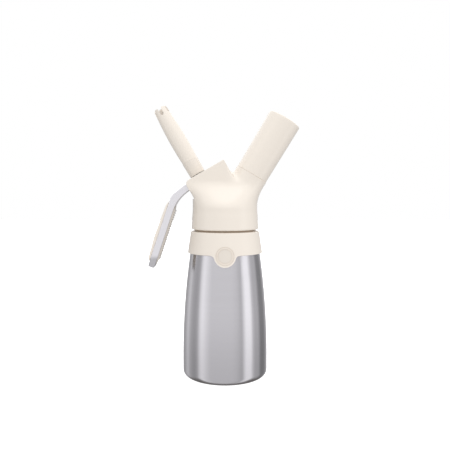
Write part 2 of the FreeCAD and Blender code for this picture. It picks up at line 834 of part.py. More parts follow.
def make_return_spring():
    start = spring_well_bottom + spring_wire / 2 + spring_end_gap
    height = flange_bottom - spring_wire / 2 - spring_end_gap - start
    path = Part.makeHelix(height / spring_turns, height, spring_radius)
    circle = Part.Wire(Part.makeCircle(spring_wire / 2, Vector(spring_radius, 0, 0), Vector(0, 1, 0)))
    coil = Part.Wire(path.Edges).makePipeShell([circle], True, True)
    coil.translate(Vector(0, 0, start))
    return in_frame(coil, valve_frame)


def make_valve_rod():
    shoulder = rod_bottom + nut_thickness
    shaft = rod(rod_radius, shoulder, rod_top)
    shaft = shaft.fuse(rod(rod_stud_radius, rod_bottom, shoulder + cut_over))
    shaft = shaft.fuse(rod(rod_flange_radius, flange_bottom, flange_top))
    bore_bottom = rod_port_level - rod_port_radius - rod_bore_end
    shaft = shaft.cut(rod(rod_bore_radius, bore_bottom, rod_top + cut_over))
    for turn in (0, 90):
        start = Vector(-2 * rod_radius, 0, rod_port_level)
        port = Part.makeCylinder(rod_port_radius, 4 * rod_radius, start, Vector(1, 0, 0))
        port.rotate(Vector(0, 0, 0), Vector(0, 0, 1), turn)
        shaft = shaft.cut(port)
    return in_frame(shaft, valve_frame)


def make_valve_seal():
    top = guide_bottom - contact_gap
    seal = turned([
        (rod_radius, top - seal_thickness),
        (seal_radius - seal_taper, top - seal_thickness, small_rounding),
        (seal_radius, top - seal_rim, small_rounding),
        (seal_radius, top),
        (rod_radius, top),
    ])
    return in_frame(seal, valve_frame)


def make_valve_nut():
    bottom = rod_bottom + nut_lift
    corners = []
    for index in range(7):
        turn = math.radians(60 * index)
        corners.append(Vector(nut_radius * math.cos(turn), nut_radius * math.sin(turn), bottom))
    hexagon = Part.Face(Part.makePolygon(corners)).extrude(Vector(0, 0, nut_hexagon))
    washer = rod(nut_radius, bottom + nut_hexagon, guide_bottom - contact_gap - seal_thickness)
    nut = hexagon.fuse(washer).cut(rod(rod_stud_radius, rod_bottom, guide_bottom))
    nut = nut.cut(rod(rod_radius, rod_bottom + nut_thickness, guide_bottom))
    return in_frame(nut, valve_frame)


# ---------------------------------------------------------------- nozzle
def make_nozzle_adapter():
    stub_top = adapter_top + stub_length
    body = turned([
        (0, adapter_bottom),
        (adapter_bottom_radius, adapter_bottom, small_rounding),
        (adapter_top_radius, adapter_top, small_rounding),
        (stub_radius, adapter_top),
        (stub_radius, stub_top, small_rounding),
        (0, stub_top),
    ])
    ridge = helix_ridge(stub_radius, nozzle_ridge_height, nozzle_ridge_width, nozzle_pitch,
                        adapter_top + nozzle_thread_lift, nozzle_thread_length, True)
    body = body.fuse(ridge)
    body = body.cut(rod(stub_bore_radius, adapter_bottom - cut_over, stub_top + cut_over))
    body = body.cut(rod(rod_radius + seat_gap, adapter_bottom - cut_over, rod_top + seat_gap))
    return in_frame(body, valve_frame)


def make_nozzle_washer():
    bottom = adapter_top + contact_gap
    ring = tube(washer_inner + washer_width, washer_inner, bottom, bottom + washer_thickness)
    return in_frame(ring, valve_frame)


def make_nozzle():
    bottom = adapter_top + nozzle_seat_gap
    top = bottom + nozzle_length
    socket = stub_radius + nozzle_ridge_height + moving_gap
    washer_room = washer_inner + washer_width + washer_side_gap
    washer_top = adapter_top + washer_thickness + 2 * contact_gap
    belly = Vector(nozzle_belly_radius, 0, bottom + nozzle_belly_level)
    foot = Vector(nozzle_foot_radius, 0, bottom)
    tip = Vector(nozzle_tip_radius, 0, top)
    axis_top = Vector(0, 0, top)
    axis_foot = Vector(0, 0, bottom)
    outside = Part.Face(Part.Wire([
        Part.Arc(foot, belly, tip).toShape(),
        Part.LineSegment(tip, axis_top).toShape(),
        Part.LineSegment(axis_top, axis_foot).toShape(),
        Part.LineSegment(axis_foot, foot).toShape(),
    ])).revolve(Vector(0, 0, 0), Vector(0, 0, 1), 360)
    socket_top = bottom + stub_length + stub_end_gap
    inside = turned([
        (0, bottom - cut_over),
        (washer_room, bottom - cut_over),
        (washer_room, washer_top),
        (socket, washer_top),
        (socket, socket_top),
        (nozzle_belly_radius - nozzle_wall, socket_top + nozzle_bore_taper),
        (nozzle_bore_tip_radius, top + cut_over),
        (0, top + cut_over),
    ])
    start = adapter_top + nozzle_thread_lift + nozzle_pitch / 2
    ridge = helix_ridge(socket, nozzle_ridge_height, nozzle_ridge_width, nozzle_pitch,
                        start, nozzle_thread_length - nozzle_pitch / 2, False)
    body = outside.cut(inside).fuse(ridge)
    half = nozzle_slot_width / 2
    slot_bottom = top - nozzle_slot_depth
    for index in range(nozzle_slots):
        slot = plate([
            (-half, slot_bottom, half - arc_join),
            (half, slot_bottom, half - arc_join),
            (half, top + cut_over),
            (-half, top + cut_over),
        ], nozzle_belly_radius / 2, -nozzle_belly_radius / 2 - cut_over)
        slot.rotate(Vector(0, 0, 0), Vector(0, 0, 1), 360 * index / nozzle_slots)
        body = body.cut(slot)
    return in_frame(body, valve_frame)


# ---------------------------------------------------------------- lever
def lever_directions():
    """Unit directions along the arm, away from the head, and down the grip."""
    drop = math.radians(lever_arm_drop)
    lean = math.radians(lever_grip_lean)
    return (-math.cos(drop), -math.sin(drop)), (-math.sin(lean), -math.cos(lean))


def stepped(point, direction, distance):
    """The (x, z) point at a distance from another one."""
    return point[0] + direction[0] * distance, point[1] + direction[1] * distance


def lever_lines():
    """The corners of the lever's side outline, as a dictionary of world (x, z)."""
    arm, grip = lever_directions()
    arm_in = (-arm[1], arm[0])
    grip_in = (-grip[1], grip[0])
    outer_bend = valve_point(-block_left - lever_bend_reach, lever_top - lever_bend_drop)
    arm_inner = stepped(outer_bend, arm_in, lever_arm_thickness)
    grip_inner = stepped(outer_bend, grip_in, lever_grip_thickness)
    lean = math.radians(valve_lean)
    head = (math.cos(lean), math.sin(lean))
    tip = stepped(outer_bend, grip, lever_grip_length)
    return {
        "top_end": valve_point(lever_reach, lever_top),
        "top_bend": line_meet(valve_point(0, lever_top), head, outer_bend, arm),
        "outer_bend": outer_bend,
        "tip_outer": tip,
        "tip_inner": stepped(tip, grip_in, lever_grip_thickness),
        "inner_bend": line_meet(arm_inner, arm, grip_inner, grip),
        "bottom_bend": line_meet(valve_point(0, lever_bottom), head, arm_inner, arm),
        "bottom_end": valve_point(lever_reach, lever_bottom),
    }


def grip_point(along, depth):
    """A world (x, z) point from its distance along the grip and its depth from the outer face."""
    _, grip = lever_directions()
    return stepped(stepped(lever_lines()["outer_bend"], grip, along), (-grip[1], grip[0]), depth)


def peg_shape(radius, level, start, end):
    """A peg across the bar at a level along the grip, between two depths from its outer face."""
    near = grip_point(level, start)
    far = grip_point(level, end)
    base = Vector(near[0], 0, near[1])
    return Part.makeCylinder(radius, end - start, base, Vector(far[0], 0, far[1]) - base)


def make_lever():
    corner = lever_lines()
    end_round = lever_head_thickness / 2 - arc_join
    bar = plate([
        corner["top_end"] + (end_round,),
        corner["top_bend"] + (lever_neck_radius,),
        corner["outer_bend"] + (lever_outer_bend_radius,),
        corner["tip_outer"] + (lever_tip_rounding,),
        corner["tip_inner"] + (lever_tip_rounding,),
        corner["inner_bend"] + (lever_inner_bend_radius,),
        corner["bottom_bend"] + (lever_neck_radius,),
        corner["bottom_end"] + (end_round,),
    ], lever_width / 2)
    rim = [edge for edge in bar.Edges if abs(edge.BoundBox.YLength) < 1e-6]
    bar = bar.makeFillet(lever_edge_rounding, rim)
    edge = lever_width / 2 - bump_edge
    for start in (-edge, edge - bump_length):
        base = Vector(0, start, lever_bottom)
        bump = Part.makeCylinder(bump_radius, bump_length, base, Vector(0, 1, 0))
        bar = bar.fuse(in_frame(bump, valve_frame))
    hole = rod(lever_hole_radius, lever_bottom - bump_radius - cut_over, lever_top + cut_over)
    bar = bar.cut(in_frame(hole, valve_frame))
    eye = cross_pin(pin_radius + pin_gap, -lever_width / 2 - cut_over, lever_width / 2 + cut_over)
    bar = bar.cut(in_frame(eye, valve_frame))
    for level in peg_levels:
        hole = peg_shape(peg_radius + seat_gap, level, -cut_over, lever_grip_thickness + cut_over)
        bar = bar.cut(hole)
    return bar


def make_lever_pin():
    start = -block_half_depth + pin_blind_wall + pin_end_gap
    return in_frame(cross_pin(pin_radius, start, block_half_depth - pin_sink), valve_frame)


def grip_outline(side, steps):
    """World points of a grip's outline from (along, out) steps; side -1 is outside the bar, 1 inside."""
    points = []
    for step in steps:
        depth = -step[1] if side < 0 else lever_grip_thickness + step[1]
        points.append(grip_point(step[0], depth) + tuple(step[2:]))
    return points


def make_outer_grip():
    shoulder = outer_grip_start + outer_grip_shoulder_length
    middle = (outer_grip_start + outer_grip_end) / 2 + outer_grip_crown_shift
    foot = outer_grip_end - outer_grip_foot_length
    steps = [
        (outer_grip_start, seat_gap),
        (shoulder, outer_grip_shoulder, outer_grip_shoulder_rounding),
        (middle, outer_grip_crown, outer_grip_crown_rounding),
        (foot, outer_grip_foot, outer_grip_foot_rounding),
        (outer_grip_end, seat_gap),
    ]
    pad = plate(grip_outline(-1, steps), lever_width / 2 - grip_inset)
    for level in peg_levels:
        pad = pad.cut(peg_shape(peg_radius + seat_gap, level, -peg_depth, cut_over))
    return pad


def make_inner_grip():
    steps = [(inner_grip_start, inner_grip_relief)]
    first = inner_grip_start + inner_grip_ramp
    last = inner_grip_end - inner_grip_ramp
    crest = inner_grip_base + inner_grip_rib_height
    rise, fall, end = [share * inner_grip_rib_pitch for share in inner_grip_rib_shares]
    for index in range(int((last - first) / inner_grip_rib_pitch)):
        start = first + index * inner_grip_rib_pitch
        steps.append((start, inner_grip_base))
        steps.append((start + rise, crest))
        steps.append((start + fall, crest))
        steps.append((start + end, inner_grip_base))
    steps.append((inner_grip_end, seat_gap))
    steps.append((first, seat_gap))
    pad = plate(grip_outline(1, steps), lever_width / 2 - grip_inset)
    for level in peg_levels:
        peg = peg_shape(peg_radius, level, seat_gap - peg_depth, lever_grip_thickness + cut_over)
        pad = pad.fuse(peg)
    return pad


# ---------------------------------------------------------------- charger port
def make_charger_port():
    bottom = port_bottom + seat_gap
    top = socket_length + port_post_length
    flange_face = socket_length - port_flange_recess
    bore_end = charger_neck_top + port_bore_lift
    post = turned([
        (port_flange_radius, bottom, small_rounding),
        (port_flange_radius, flange_face, fine_rounding),
        (port_root_radius, flange_face),
        (port_root_radius, top, small_rounding),
        (port_bore_radius, top, fine_rounding),
        (port_bore_radius, bore_end),
        (port_neck_bore_radius, bore_end - port_bore_taper),
        (port_neck_bore_radius, charger_seat),
        (gas_channel_radius, charger_seat),
        (gas_channel_radius, bottom),
    ])
    ridge = helix_ridge(port_root_radius, holder_ridge_height, holder_ridge_width, holder_pitch,
                        socket_length + holder_thread_lift, holder_thread_length, True)
    return in_frame(post.fuse(ridge), charger_frame)


def make_piercing_pin():
    start = port_bottom + piercer_foot
    tip = charger_tip + piercer_length
    foot_radius = gas_channel_radius - seat_gap
    stem = turned([
        (0, start),
        (foot_radius, start),
        (foot_radius, charger_seat),
        (piercer_radius, charger_seat + foot_radius - piercer_radius),
        (piercer_radius, tip - piercer_point),
        (0, tip),
    ])
    return in_frame(stem, charger_frame)


def make_charger_seal():
    outer = port_neck_bore_radius - seat_gap
    top = charger_seat + charger_seal_thickness
    return in_frame(tube(outer, charger_seal_bore, charger_seat + seat_gap, top), charger_frame)


def make_check_valve():
    top = head_ceiling - seat_gap
    stem_top = head_ceiling + check_valve_stem_length
    bottom = top - check_valve_thickness
    cap = turned([
        (0, bottom),
        (check_valve_radius, bottom + small_rounding, fine_rounding),
        (check_valve_radius, top),
        (check_valve_stem_radius, top),
        (check_valve_stem_radius, stem_top),
        (0, stem_top),
    ])
    cap.translate(Vector(gas_channel_offset, 0, 0))
    return cap


# ---------------------------------------------------------------- charger and holder
def charger_outline(inset):
    radius = charger_radius - inset
    neck = charger_neck_radius - inset
    end = charger_end - inset
    return [
        (0, charger_tip + inset),
        (neck, charger_tip + inset, small_rounding),
        (neck, charger_neck_top, charger_neck_rounding),
        (radius, charger_neck_top + charger_shoulder_length, charger_shoulder_rounding),
        (radius, end, radius - small_rounding),
        (0, end),
    ]


def make_gas_charger():
    shell = turned(charger_outline(0)).cut(turned(charger_outline(charger_wall)))
    hole = rod(charger_hole_radius, charger_tip - cut_over, charger_tip + charger_wall + cut_over)
    return in_frame(shell.cut(hole), charger_frame)


def make_holder_sleeve():
    foot = holder_bottom + sleeve_foot
    thread_top = socket_length + port_post_length + sleeve_thread_room
    floor = charger_end + moving_gap
    top = floor + sleeve_floor - seat_gap
    sleeve = turned([
        (sleeve_thread_radius, foot, fine_rounding),
        (sleeve_outer_radius, foot, fine_rounding),
        (sleeve_outer_radius, top),
        (0, top),
        (0, floor),
        (sleeve_inner_radius, floor),
        (sleeve_inner_radius, thread_top),
        (sleeve_thread_radius, thread_top),
    ])
    start = socket_length + holder_thread_lift + holder_pitch / 2
    ridge = helix_ridge(sleeve_thread_radius, holder_ridge_height, holder_ridge_width, holder_pitch,
                        start, sleeve_thread_length, False)
    return in_frame(sleeve.fuse(ridge), charger_frame)


def make_holder_shell():
    bottom = Vector(holder_mouth_radius, 0, holder_bottom)
    middle = Vector(holder_middle_radius, 0, holder_bottom + holder_middle_level)
    rounding = holder_end_rounding
    top = Vector(holder_end_radius, 0, holder_top - rounding)
    sagitta = rounding * (1 - math.cos(math.radians(45)))
    arc_middle = Vector(holder_end_radius - sagitta, 0, holder_top - sagitta)
    rim = Vector(holder_end_radius - rounding, 0, holder_top)
    axis_top = Vector(0, 0, holder_top)
    axis_bottom = Vector(0, 0, holder_bottom)
    outside = Part.Face(Part.Wire([
        Part.Arc(bottom, middle, top).toShape(),
        Part.Arc(top, arc_middle, rim).toShape(),
        Part.LineSegment(rim, axis_top).toShape(),
        Part.LineSegment(axis_top, axis_bottom).toShape(),
        Part.LineSegment(axis_bottom, bottom).toShape(),
    ])).revolve(Vector(0, 0, 0), Vector(0, 0, 1), 360)
    room_top = holder_top - holder_end_wall
    room = rod(sleeve_outer_radius + seat_gap, holder_bottom - cut_over, room_top)
    return in_frame(outside.cut(room), charger_frame)


NODES = {
    "bottle": make_bottle,
    "collar": make_collar,
    "head_shell": make_head_shell,
    "thread_ring": make_thread_ring,
    "head_gasket": make_head_gasket,
    "valve_guide": make_valve_guide,
    "rod_o_ring": make_rod_o_ring,
    "return_spring": make_return_spring,
    "valve_rod": make_valve_rod,
    "valve_seal": make_valve_seal,
    "valve_nut": make_valve_nut,
    "nozzle_adapter": make_nozzle_adapter,
    "nozzle_washer": make_nozzle_washer,
    "nozzle": make_nozzle,
    "lever": make_lever,
    "lever_pin": make_lever_pin,
    "outer_grip": make_outer_grip,
    "inner_grip": make_inner_grip,
    "charger_port": make_charger_port,
    "piercing_pin": make_piercing_pin,
    "charger_seal": make_charger_seal,
    "check_valve": make_check_valve,
    "gas_charger": make_gas_charger,
    "holder_sleeve": make_holder_sleeve,
    "holder_shell": make_holder_shell,
}

os.makedirs("parts", exist_ok=True)
for node, make in NODES.items():
    save(make(), node)
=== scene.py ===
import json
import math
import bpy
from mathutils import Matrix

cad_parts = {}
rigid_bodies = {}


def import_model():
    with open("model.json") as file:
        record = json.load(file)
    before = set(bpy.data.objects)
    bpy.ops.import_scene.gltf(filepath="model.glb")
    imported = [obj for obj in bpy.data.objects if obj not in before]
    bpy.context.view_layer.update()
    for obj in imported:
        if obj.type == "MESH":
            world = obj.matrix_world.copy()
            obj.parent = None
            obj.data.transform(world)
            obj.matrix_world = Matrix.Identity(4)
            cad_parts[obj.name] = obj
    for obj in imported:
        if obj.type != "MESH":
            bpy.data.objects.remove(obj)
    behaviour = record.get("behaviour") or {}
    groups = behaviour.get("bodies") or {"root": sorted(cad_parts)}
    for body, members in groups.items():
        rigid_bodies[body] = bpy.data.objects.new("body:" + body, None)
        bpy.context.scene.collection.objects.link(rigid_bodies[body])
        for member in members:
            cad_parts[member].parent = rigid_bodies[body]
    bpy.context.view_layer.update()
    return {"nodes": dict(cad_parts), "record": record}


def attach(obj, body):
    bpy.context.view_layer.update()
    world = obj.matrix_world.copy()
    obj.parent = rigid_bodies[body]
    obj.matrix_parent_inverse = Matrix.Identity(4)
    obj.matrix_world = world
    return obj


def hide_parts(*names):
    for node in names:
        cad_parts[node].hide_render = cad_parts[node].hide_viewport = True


bl_info = {
    "name": "Whipped cream dispenser",
    "version": (1, 0, 0),
    "blender": (4, 5, 0),
    "location": "View3D > Sidebar > Dispenser",
    "description": "Models and finishes a whipped cream dispenser around its packed assembly",
    "category": "Object",
}

import bmesh
import bpy
from bpy.props import FloatProperty, FloatVectorProperty, IntProperty, PointerProperty
from mathutils import Matrix, Vector
from mathutils.kdtree import KDTree

for leftover in list(bpy.data.objects):
    bpy.data.objects.remove(leftover)
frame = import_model()
packed_colours = {m["slot"]: tuple(m["base_color"]) for m in frame["record"]["materials"]}

JOIN = 1e-6               # points closer than this are one
OVER = 0.001              # how far a cutter, or a piece that is joined on, reaches past a face
BLACK = (0.0, 0.0, 0.0, 1.0)
WHITE = (1.0, 1.0, 1.0, 1.0)


# ------------------------------ sizes and colours to change
def length(name, description, default):
    return FloatProperty(name=name, description=description, default=default,
                         subtype="DISTANCE", unit="LENGTH")


def turn(name, description, degrees):
    return FloatProperty(name=name, description=description, default=math.radians(degrees),
                         subtype="ANGLE", unit="ROTATION")


def colour(name, description, default):
    return FloatVectorProperty(name=name, description=description, default=default,
                               size=3, min=0.0, max=1.0, subtype="COLOR")


class BottleLook(bpy.types.PropertyGroup):
    steel: colour("Steel", "Colour of the brushed steel", packed_colours["bottle_steel"])


class HeadSizes(bpy.types.PropertyGroup):
    foot_radius: length("Foot radius", "Outer radius at the lower edge", 0.0325)
    foot_height: length("Foot height", "Height of the lower edge", 0.1426)
    middle_radius: length("Middle radius", "Outer radius half way up to the waist", 0.0315)
    middle_height: length("Middle height", "Height of the middle radius", 0.1565)
    waist_radius: length("Waist radius", "Outer radius where the head starts to lean back", 0.0311)
    waist_height: length("Waist height", "Height where the head starts to lean back", 0.1625)
    lean_height: length("Lean end", "Height where the leaning front meets the block's face", 0.1895)
    edge_rounding: length("Edge rounding", "Rounding of the lower edge", 0.0013)
    notch_height: length("Notch height", "Height of the notch's floor between the arms", 0.1978)
    notch_across: length("Notch place", "Place of the notch, right of the bottle's axis", 0.0085)
    saddle_width: length("Notch width", "Half of the width of what fills the notch", 0.009)
    saddle_drop: length("Notch drop", "How far the notch's floor falls towards the front", 0.0125)
    valve_height: length("Valve origin", "Where the valve's axis leaves the bottle's axis", 0.150)
    valve_lean: turn("Valve lean", "Lean of the valve's axis to the left", 30.0)
    charger_height: length("Charger origin", "Where its axis leaves the bottle's axis", 0.1525)
    charger_lean: turn("Charger lean", "Lean of the charger's axis to the right", 31.0)
    block_top: length("Block top", "Distance of the flat top along the valve's axis", 0.0518)
    block_left: length("Block left", "From the valve's axis to the block's left face", 0.0142)
    block_right: length("Block right", "From the valve's axis to the block's right face", 0.0284)
    block_depth: length("Block depth", "Half of the block's depth", 0.0155)
    block_rounding: length("Block rounding", "Rounding of the edges beside the notch", 0.0042)
    socket_radius: length("Socket radius", "Outer radius of the socket at its seam", 0.0161)
    socket_length: length("Socket length", "Distance of the seam along the charger's axis", 0.04993)
    notch_reach: length("Notch rounding", "How far the soft rounding of the notch reaches", 0.0120)


class NozzleSizes(bpy.types.PropertyGroup):
    foot: length("Foot", "Distance of the nozzle's foot along the valve's axis", 0.06743)
    span: length("Length", "Length of the nozzle", 0.0575)
    foot_radius: length("Foot radius", "Outer radius of the foot", 0.00775)
    belly_radius: length("Belly radius", "Outer radius at the belly", 0.0083)
    belly_level: length("Belly level", "Height of the belly above the foot", 0.020)
    tip_radius: length("Tip radius", "Outer radius of the mouth", 0.0062)
    tip_bore: length("Mouth bore", "Inner radius of the mouth", 0.0049)
    socket_radius: length("Socket radius", "Inner radius over the adapter's thread", 0.0062)
    slots: IntProperty(name="Slots", description="Slots around the mouth", default=5, min=3, max=12)
    slot_width: length("Slot width", "Width of a slot", 0.0033)
    slot_depth: length("Slot depth", "Depth of a slot", 0.0073)
    slot_turn: turn("Slot turn", "Turn of the front slot about the nozzle's axis", -2.0)
    tooth_rounding: length("Tooth rounding", "Rounding of the teeth's corners", 0.0011)


class HolderSizes(bpy.types.PropertyGroup):
    mouth: length("Mouth", "Distance of the holder's mouth along the charger's axis", 0.0500)
    end: length("End", "Distance of the holder's closed end along the charger's axis", 0.1115)
    mouth_radius: length("Mouth radius", "Outer radius at the mouth", 0.0157)
    middle_radius: length("Middle radius", "Outer radius 30 mm above the mouth", 0.01605)
    end_radius: length("End radius", "Outer radius at the closed end", 0.0164)
    end_rounding: length("End rounding", "Rounding of the closed end's edge", 0.0013)
    room_radius: length("Room radius", "Inner radius around the lining", 0.01335)
    room_end: length("Room end", "Distance of the room's floor along the charger's axis", 0.1106)


class GripSizes(bpy.types.PropertyGroup):
    bend_across: length("Bend across", "Place of the lever's outer bend, along X", -0.051093)
    bend_height: length("Bend height", "Height of the lever's outer bend", 0.175696)
    lean: turn("Lean", "Lean of the lever's grip from the vertical", 18.6)
    bar: length("Bar", "Thickness of the lever's bar between the pads", 0.0064)
    half_width: length("Half width", "Half of the pads' width", 0.0086)
    crown: length("Crown", "Thickness of the outer pad at its middle", 0.0032)
    rib_crest: length("Rib crest", "Thickness of the inner pad over its ribs", 0.0019)
    rib_valley: length("Rib valley", "Thickness of the inner pad between its ribs", 0.0009)
    rib_pitch: length("Rib pitch", "Distance from rib to rib", 0.0023)


class PlasticLook(bpy.types.PropertyGroup):
    cream: colour("Cream", "Colour of the cream plastic", packed_colours["cream_plastic"])
    thread: colour("Thread ring", "Colour of the thread ring", packed_colours["thread_plastic"])
    rubber: colour("Seals", "Colour of the seals", packed_colours["seal_rubber"])
    # painted shade: this colour stands in for the shadow in the deep gap under the head, and is
    # also used in the tab's rings
    gap: colour("Gap", "Colour in the deep gap under the head", (0.36, 0.27, 0.19))


class MetalLook(bpy.types.PropertyGroup):
    valve: colour("Valve steel", "Colour of the valve's metal", packed_colours["valve_steel"])
    lever: colour("Lever", "Colour of the lever's satin metal", packed_colours["lever_metal"])
    port: colour("Port", "Colour of the port and the holder's lining", packed_colours["port_metal"])
    charger: colour("Charger", "Colour of the gas charger", packed_colours["charger_steel"])


class StudioSetup(bpy.types.PropertyGroup):
    distance: length("Camera distance", "From the camera to the point it looks at", 0.5626)
    target: length("Target height", "Height of the point that the camera looks at", 0.1465)
    pitch: turn("Pitch", "How far the camera looks down", 3.35)
    field: turn("Field of view", "Width of the camera's view", 42.4)
    floor: length("Floor", "Width of the floor", 6.0)
    top_power: FloatProperty(name="Top light", description="Power of the overhead softbox",
                             default=0.3, subtype="POWER", unit="POWER")


# ------------------------------ modelling
def select_nothing():
    if bpy.context.mode != "OBJECT":
        bpy.ops.object.mode_set(mode="OBJECT")
    bpy.ops.object.select_all(action="DESELECT")


def choose(piece):
    select_nothing()
    piece.select_set(True)
    bpy.context.view_layer.objects.active = piece


def settle(piece):
    """Puts a piece's place into its mesh, so that the object sits at the origin."""
    choose(piece)
    bpy.ops.object.transform_apply(location=True, rotation=True, scale=True)


def drawn_line(name, points):
    """A piece with one line of edges through (x, z) points, left in edit mode and selected."""
    select_nothing()
    bpy.ops.mesh.primitive_plane_add(size=0.001, location=(points[0][0], 0.0, points[0][1]))
    piece = bpy.context.object
    piece.name = name
    piece.data.name = name
    bpy.ops.object.mode_set(mode="EDIT")
    bpy.ops.mesh.select_all(action="SELECT")
    bpy.ops.mesh.merge(type="CENTER")
    for before, after in zip(points, points[1:]):
        step = (after[0] - before[0], 0.0, after[1] - before[1])
        bpy.ops.mesh.extrude_region_move(TRANSFORM_OT_translate={"value": step})
    bpy.ops.mesh.select_all(action="SELECT")
    return piece


def closed(piece):
    """Turns all the normals outwards and leaves edit mode."""
    bpy.ops.mesh.select_all(action="SELECT")
    bpy.ops.mesh.normals_make_consistent(inside=False)
    bpy.ops.object.mode_set(mode="OBJECT")
    settle(piece)
    return piece


def lathe(name, points, segments):
    """A round piece: (radius, z) points, closed or from axis to axis, spun about Z."""
    piece = drawn_line(name, points)
    bpy.ops.mesh.spin(steps=segments, dupli=False, angle=2 * math.pi, use_auto_merge=False,
                      center=(0.0, 0.0, 0.0), axis=(0.0, 0.0, 1.0))
    bpy.ops.mesh.select_all(action="SELECT")
    bpy.ops.mesh.remove_doubles(threshold=JOIN)
    return closed(piece)


def slab(name, points, half_width, centre=0.0):
    """An outline of (x, z) points, filled and extruded along Y on both sides of a centre plane."""
    piece = drawn_line(name, list(points) + [points[0]])
    bpy.ops.mesh.remove_doubles(threshold=JOIN)
    bpy.ops.mesh.select_all(action="SELECT")
    bpy.ops.mesh.edge_face_add()
    bpy.ops.transform.translate(value=(0.0, centre - half_width, 0.0))
    bpy.ops.mesh.extrude_region_move(TRANSFORM_OT_translate={"value": (0.0, 2 * half_width, 0.0)})
    return closed(piece)


def post(name, radius, bottom, top, segments=64):
    return lathe(name, [(0.0, bottom), (radius, bottom), (radius, top), (0.0, top)], segments)


def place(piece, matrix):
    """Moves a piece into another frame, such as an arm's."""
    piece.matrix_world = matrix
    settle(piece)
    return piece


def finish_with(piece, kind, **settings):
    """Adds a modifier and applies it."""
    modifier = piece.modifiers.new(kind.lower(), kind)
    for key, value in settings.items():
        setattr(modifier, key, value)
    choose(piece)
    bpy.ops.object.modifier_apply(modifier=modifier.name)
    return piece


def combine(piece, other, operation):
    """Joins, cuts or intersects a piece with another one, which is used up."""
    finish_with(piece, "BOOLEAN", operation=operation, object=other, solver="MANIFOLD")
    bpy.data.objects.remove(other)
    return piece


def soften(piece, degrees=30.0):
    choose(piece)
    bpy.ops.object.shade_smooth_by_angle(angle=math.radians(degrees), keep_sharp_edges=False)
    return piece


def rounded(points, arc_steps=8):
    """A closed outline of (x, z) or (x, z, radius) points, with an arc for each radius."""
    outline = []
    count = len(points)
    for index, point in enumerate(points):
        corner = Vector(point[:2])
        if len(point) < 3:
            outline.append(tuple(corner))
            continue
        back = (Vector(points[index - 1][:2]) - corner).normalized()
        ahead = (Vector(points[(index + 1) % count][:2]) - corner).normalized()
        half = back.angle(ahead) / 2
        centre = corner + (back + ahead).normalized() * (point[2] / math.sin(half))
        start = corner + back * (point[2] / math.tan(half)) - centre
        end = corner + ahead * (point[2] / math.tan(half)) - centre
        sweep = math.atan2(start.x * end.y - start.y * end.x, start.dot(end))
        for step in range(arc_steps + 1):
            outline.append(tuple(centre + Matrix.Rotation(sweep * step / arc_steps, 2) @ start))
    return outline


def arc_through(start, middle, end, steps):
    """Points of the circular arc through three (x, z) points, the first one left out."""
    a, b, c = Vector(start), Vector(middle), Vector(end)
    d = 2 * (a.x * (b.y - c.y) + b.x * (c.y - a.y) + c.x * (a.y - b.y))
    sa, sb, sc = a.length_squared, b.length_squared, c.length_squared
    centre = Vector(((sa * (b.y - c.y) + sb * (c.y - a.y) + sc * (a.y - b.y)) / d,
                     (sa * (c.x - b.x) + sb * (a.x - c.x) + sc * (b.x - a.x)) / d))
    arm = a - centre
    reach = c - centre
    sweep = math.atan2(arm.x * reach.y - arm.y * reach.x, arm.dot(reach))
    return [tuple(centre + Matrix.Rotation(sweep * step / steps, 2) @ arm)
            for step in range(1, steps + 1)]


def lofted(name, rings):
    """A closed piece bridged over rings of as many points each."""
    loops = []
    for ring in rings:
        select_nothing()
        bpy.ops.mesh.primitive_circle_add(vertices=len(ring), radius=1.0, location=(0, 0, 0))
        loop = bpy.context.object
        for vertex, spot in zip(loop.data.vertices, ring):
            vertex.co = spot
        loops.append(loop)
    choose(loops[0])
    for loop in loops:
        loop.select_set(True)
    bpy.ops.object.join()
    piece = bpy.context.object
    piece.name = name
    piece.data.name = name
    bpy.ops.object.mode_set(mode="EDIT")
    bpy.ops.mesh.select_all(action="SELECT")
    bpy.ops.mesh.bridge_edge_loops()
    bpy.ops.mesh.select_all(action="SELECT")
    bpy.ops.mesh.fill_holes(sides=0)
    return closed(piece)


# ------------------------------ frames of the two arms
def arm_frame(height, lean):
    """Z runs up the arm from where it leaves the bottle's axis, and leans in the XZ plane."""
    return Matrix.Translation((0, 0, height)) @ Matrix.Rotation(lean, 4, "Y")


def valve_frame():
    sizes = bpy.context.scene.head_sizes
    return arm_frame(sizes.valve_height, -sizes.valve_lean)


def charger_frame():
    sizes = bpy.context.scene.head_sizes
    return arm_frame(sizes.charger_height, sizes.charger_lean)


def in_world(matrix, points):
    """(across, along) points of an arm's frame as world (x, z), with their radii kept."""
    moved = []
    for point in points:
        spot = matrix @ Vector((point[0], 0.0, point[1]))
        moved.append((spot.x, spot.z) + tuple(point[2:]))
    return moved


# ------------------------------ shader maths
class Socket:
    """A node's output. Sums and products with numbers or other outputs add Math nodes."""

    def __init__(self, finish, output):
        self.finish = finish
        self.output = output

    def maths(self, operation, first, second=None):
        inputs = {0: first} if second is None else {0: first, 1: second}
        return self.finish.node("Math", {"operation": operation}, inputs)

    def __add__(self, other):
        return self.maths("ADD", self, other)

    def __radd__(self, other):
        return self.maths("ADD", other, self)

    def __sub__(self, other):
        return self.maths("SUBTRACT", self, other)

    def __rsub__(self, other):
        return self.maths("SUBTRACT", other, self)

    def __mul__(self, other):
        return self.maths("MULTIPLY", self, other)

    def __truediv__(self, other):
        return self.maths("DIVIDE", self, other)

    def size(self):
        return self.maths("ABSOLUTE", self)

    def root(self):
        return self.maths("SQRT", self)

    def held(self):
        """Held between 0 and 1."""
        return self.finish.node("Clamp", {}, {0: self})


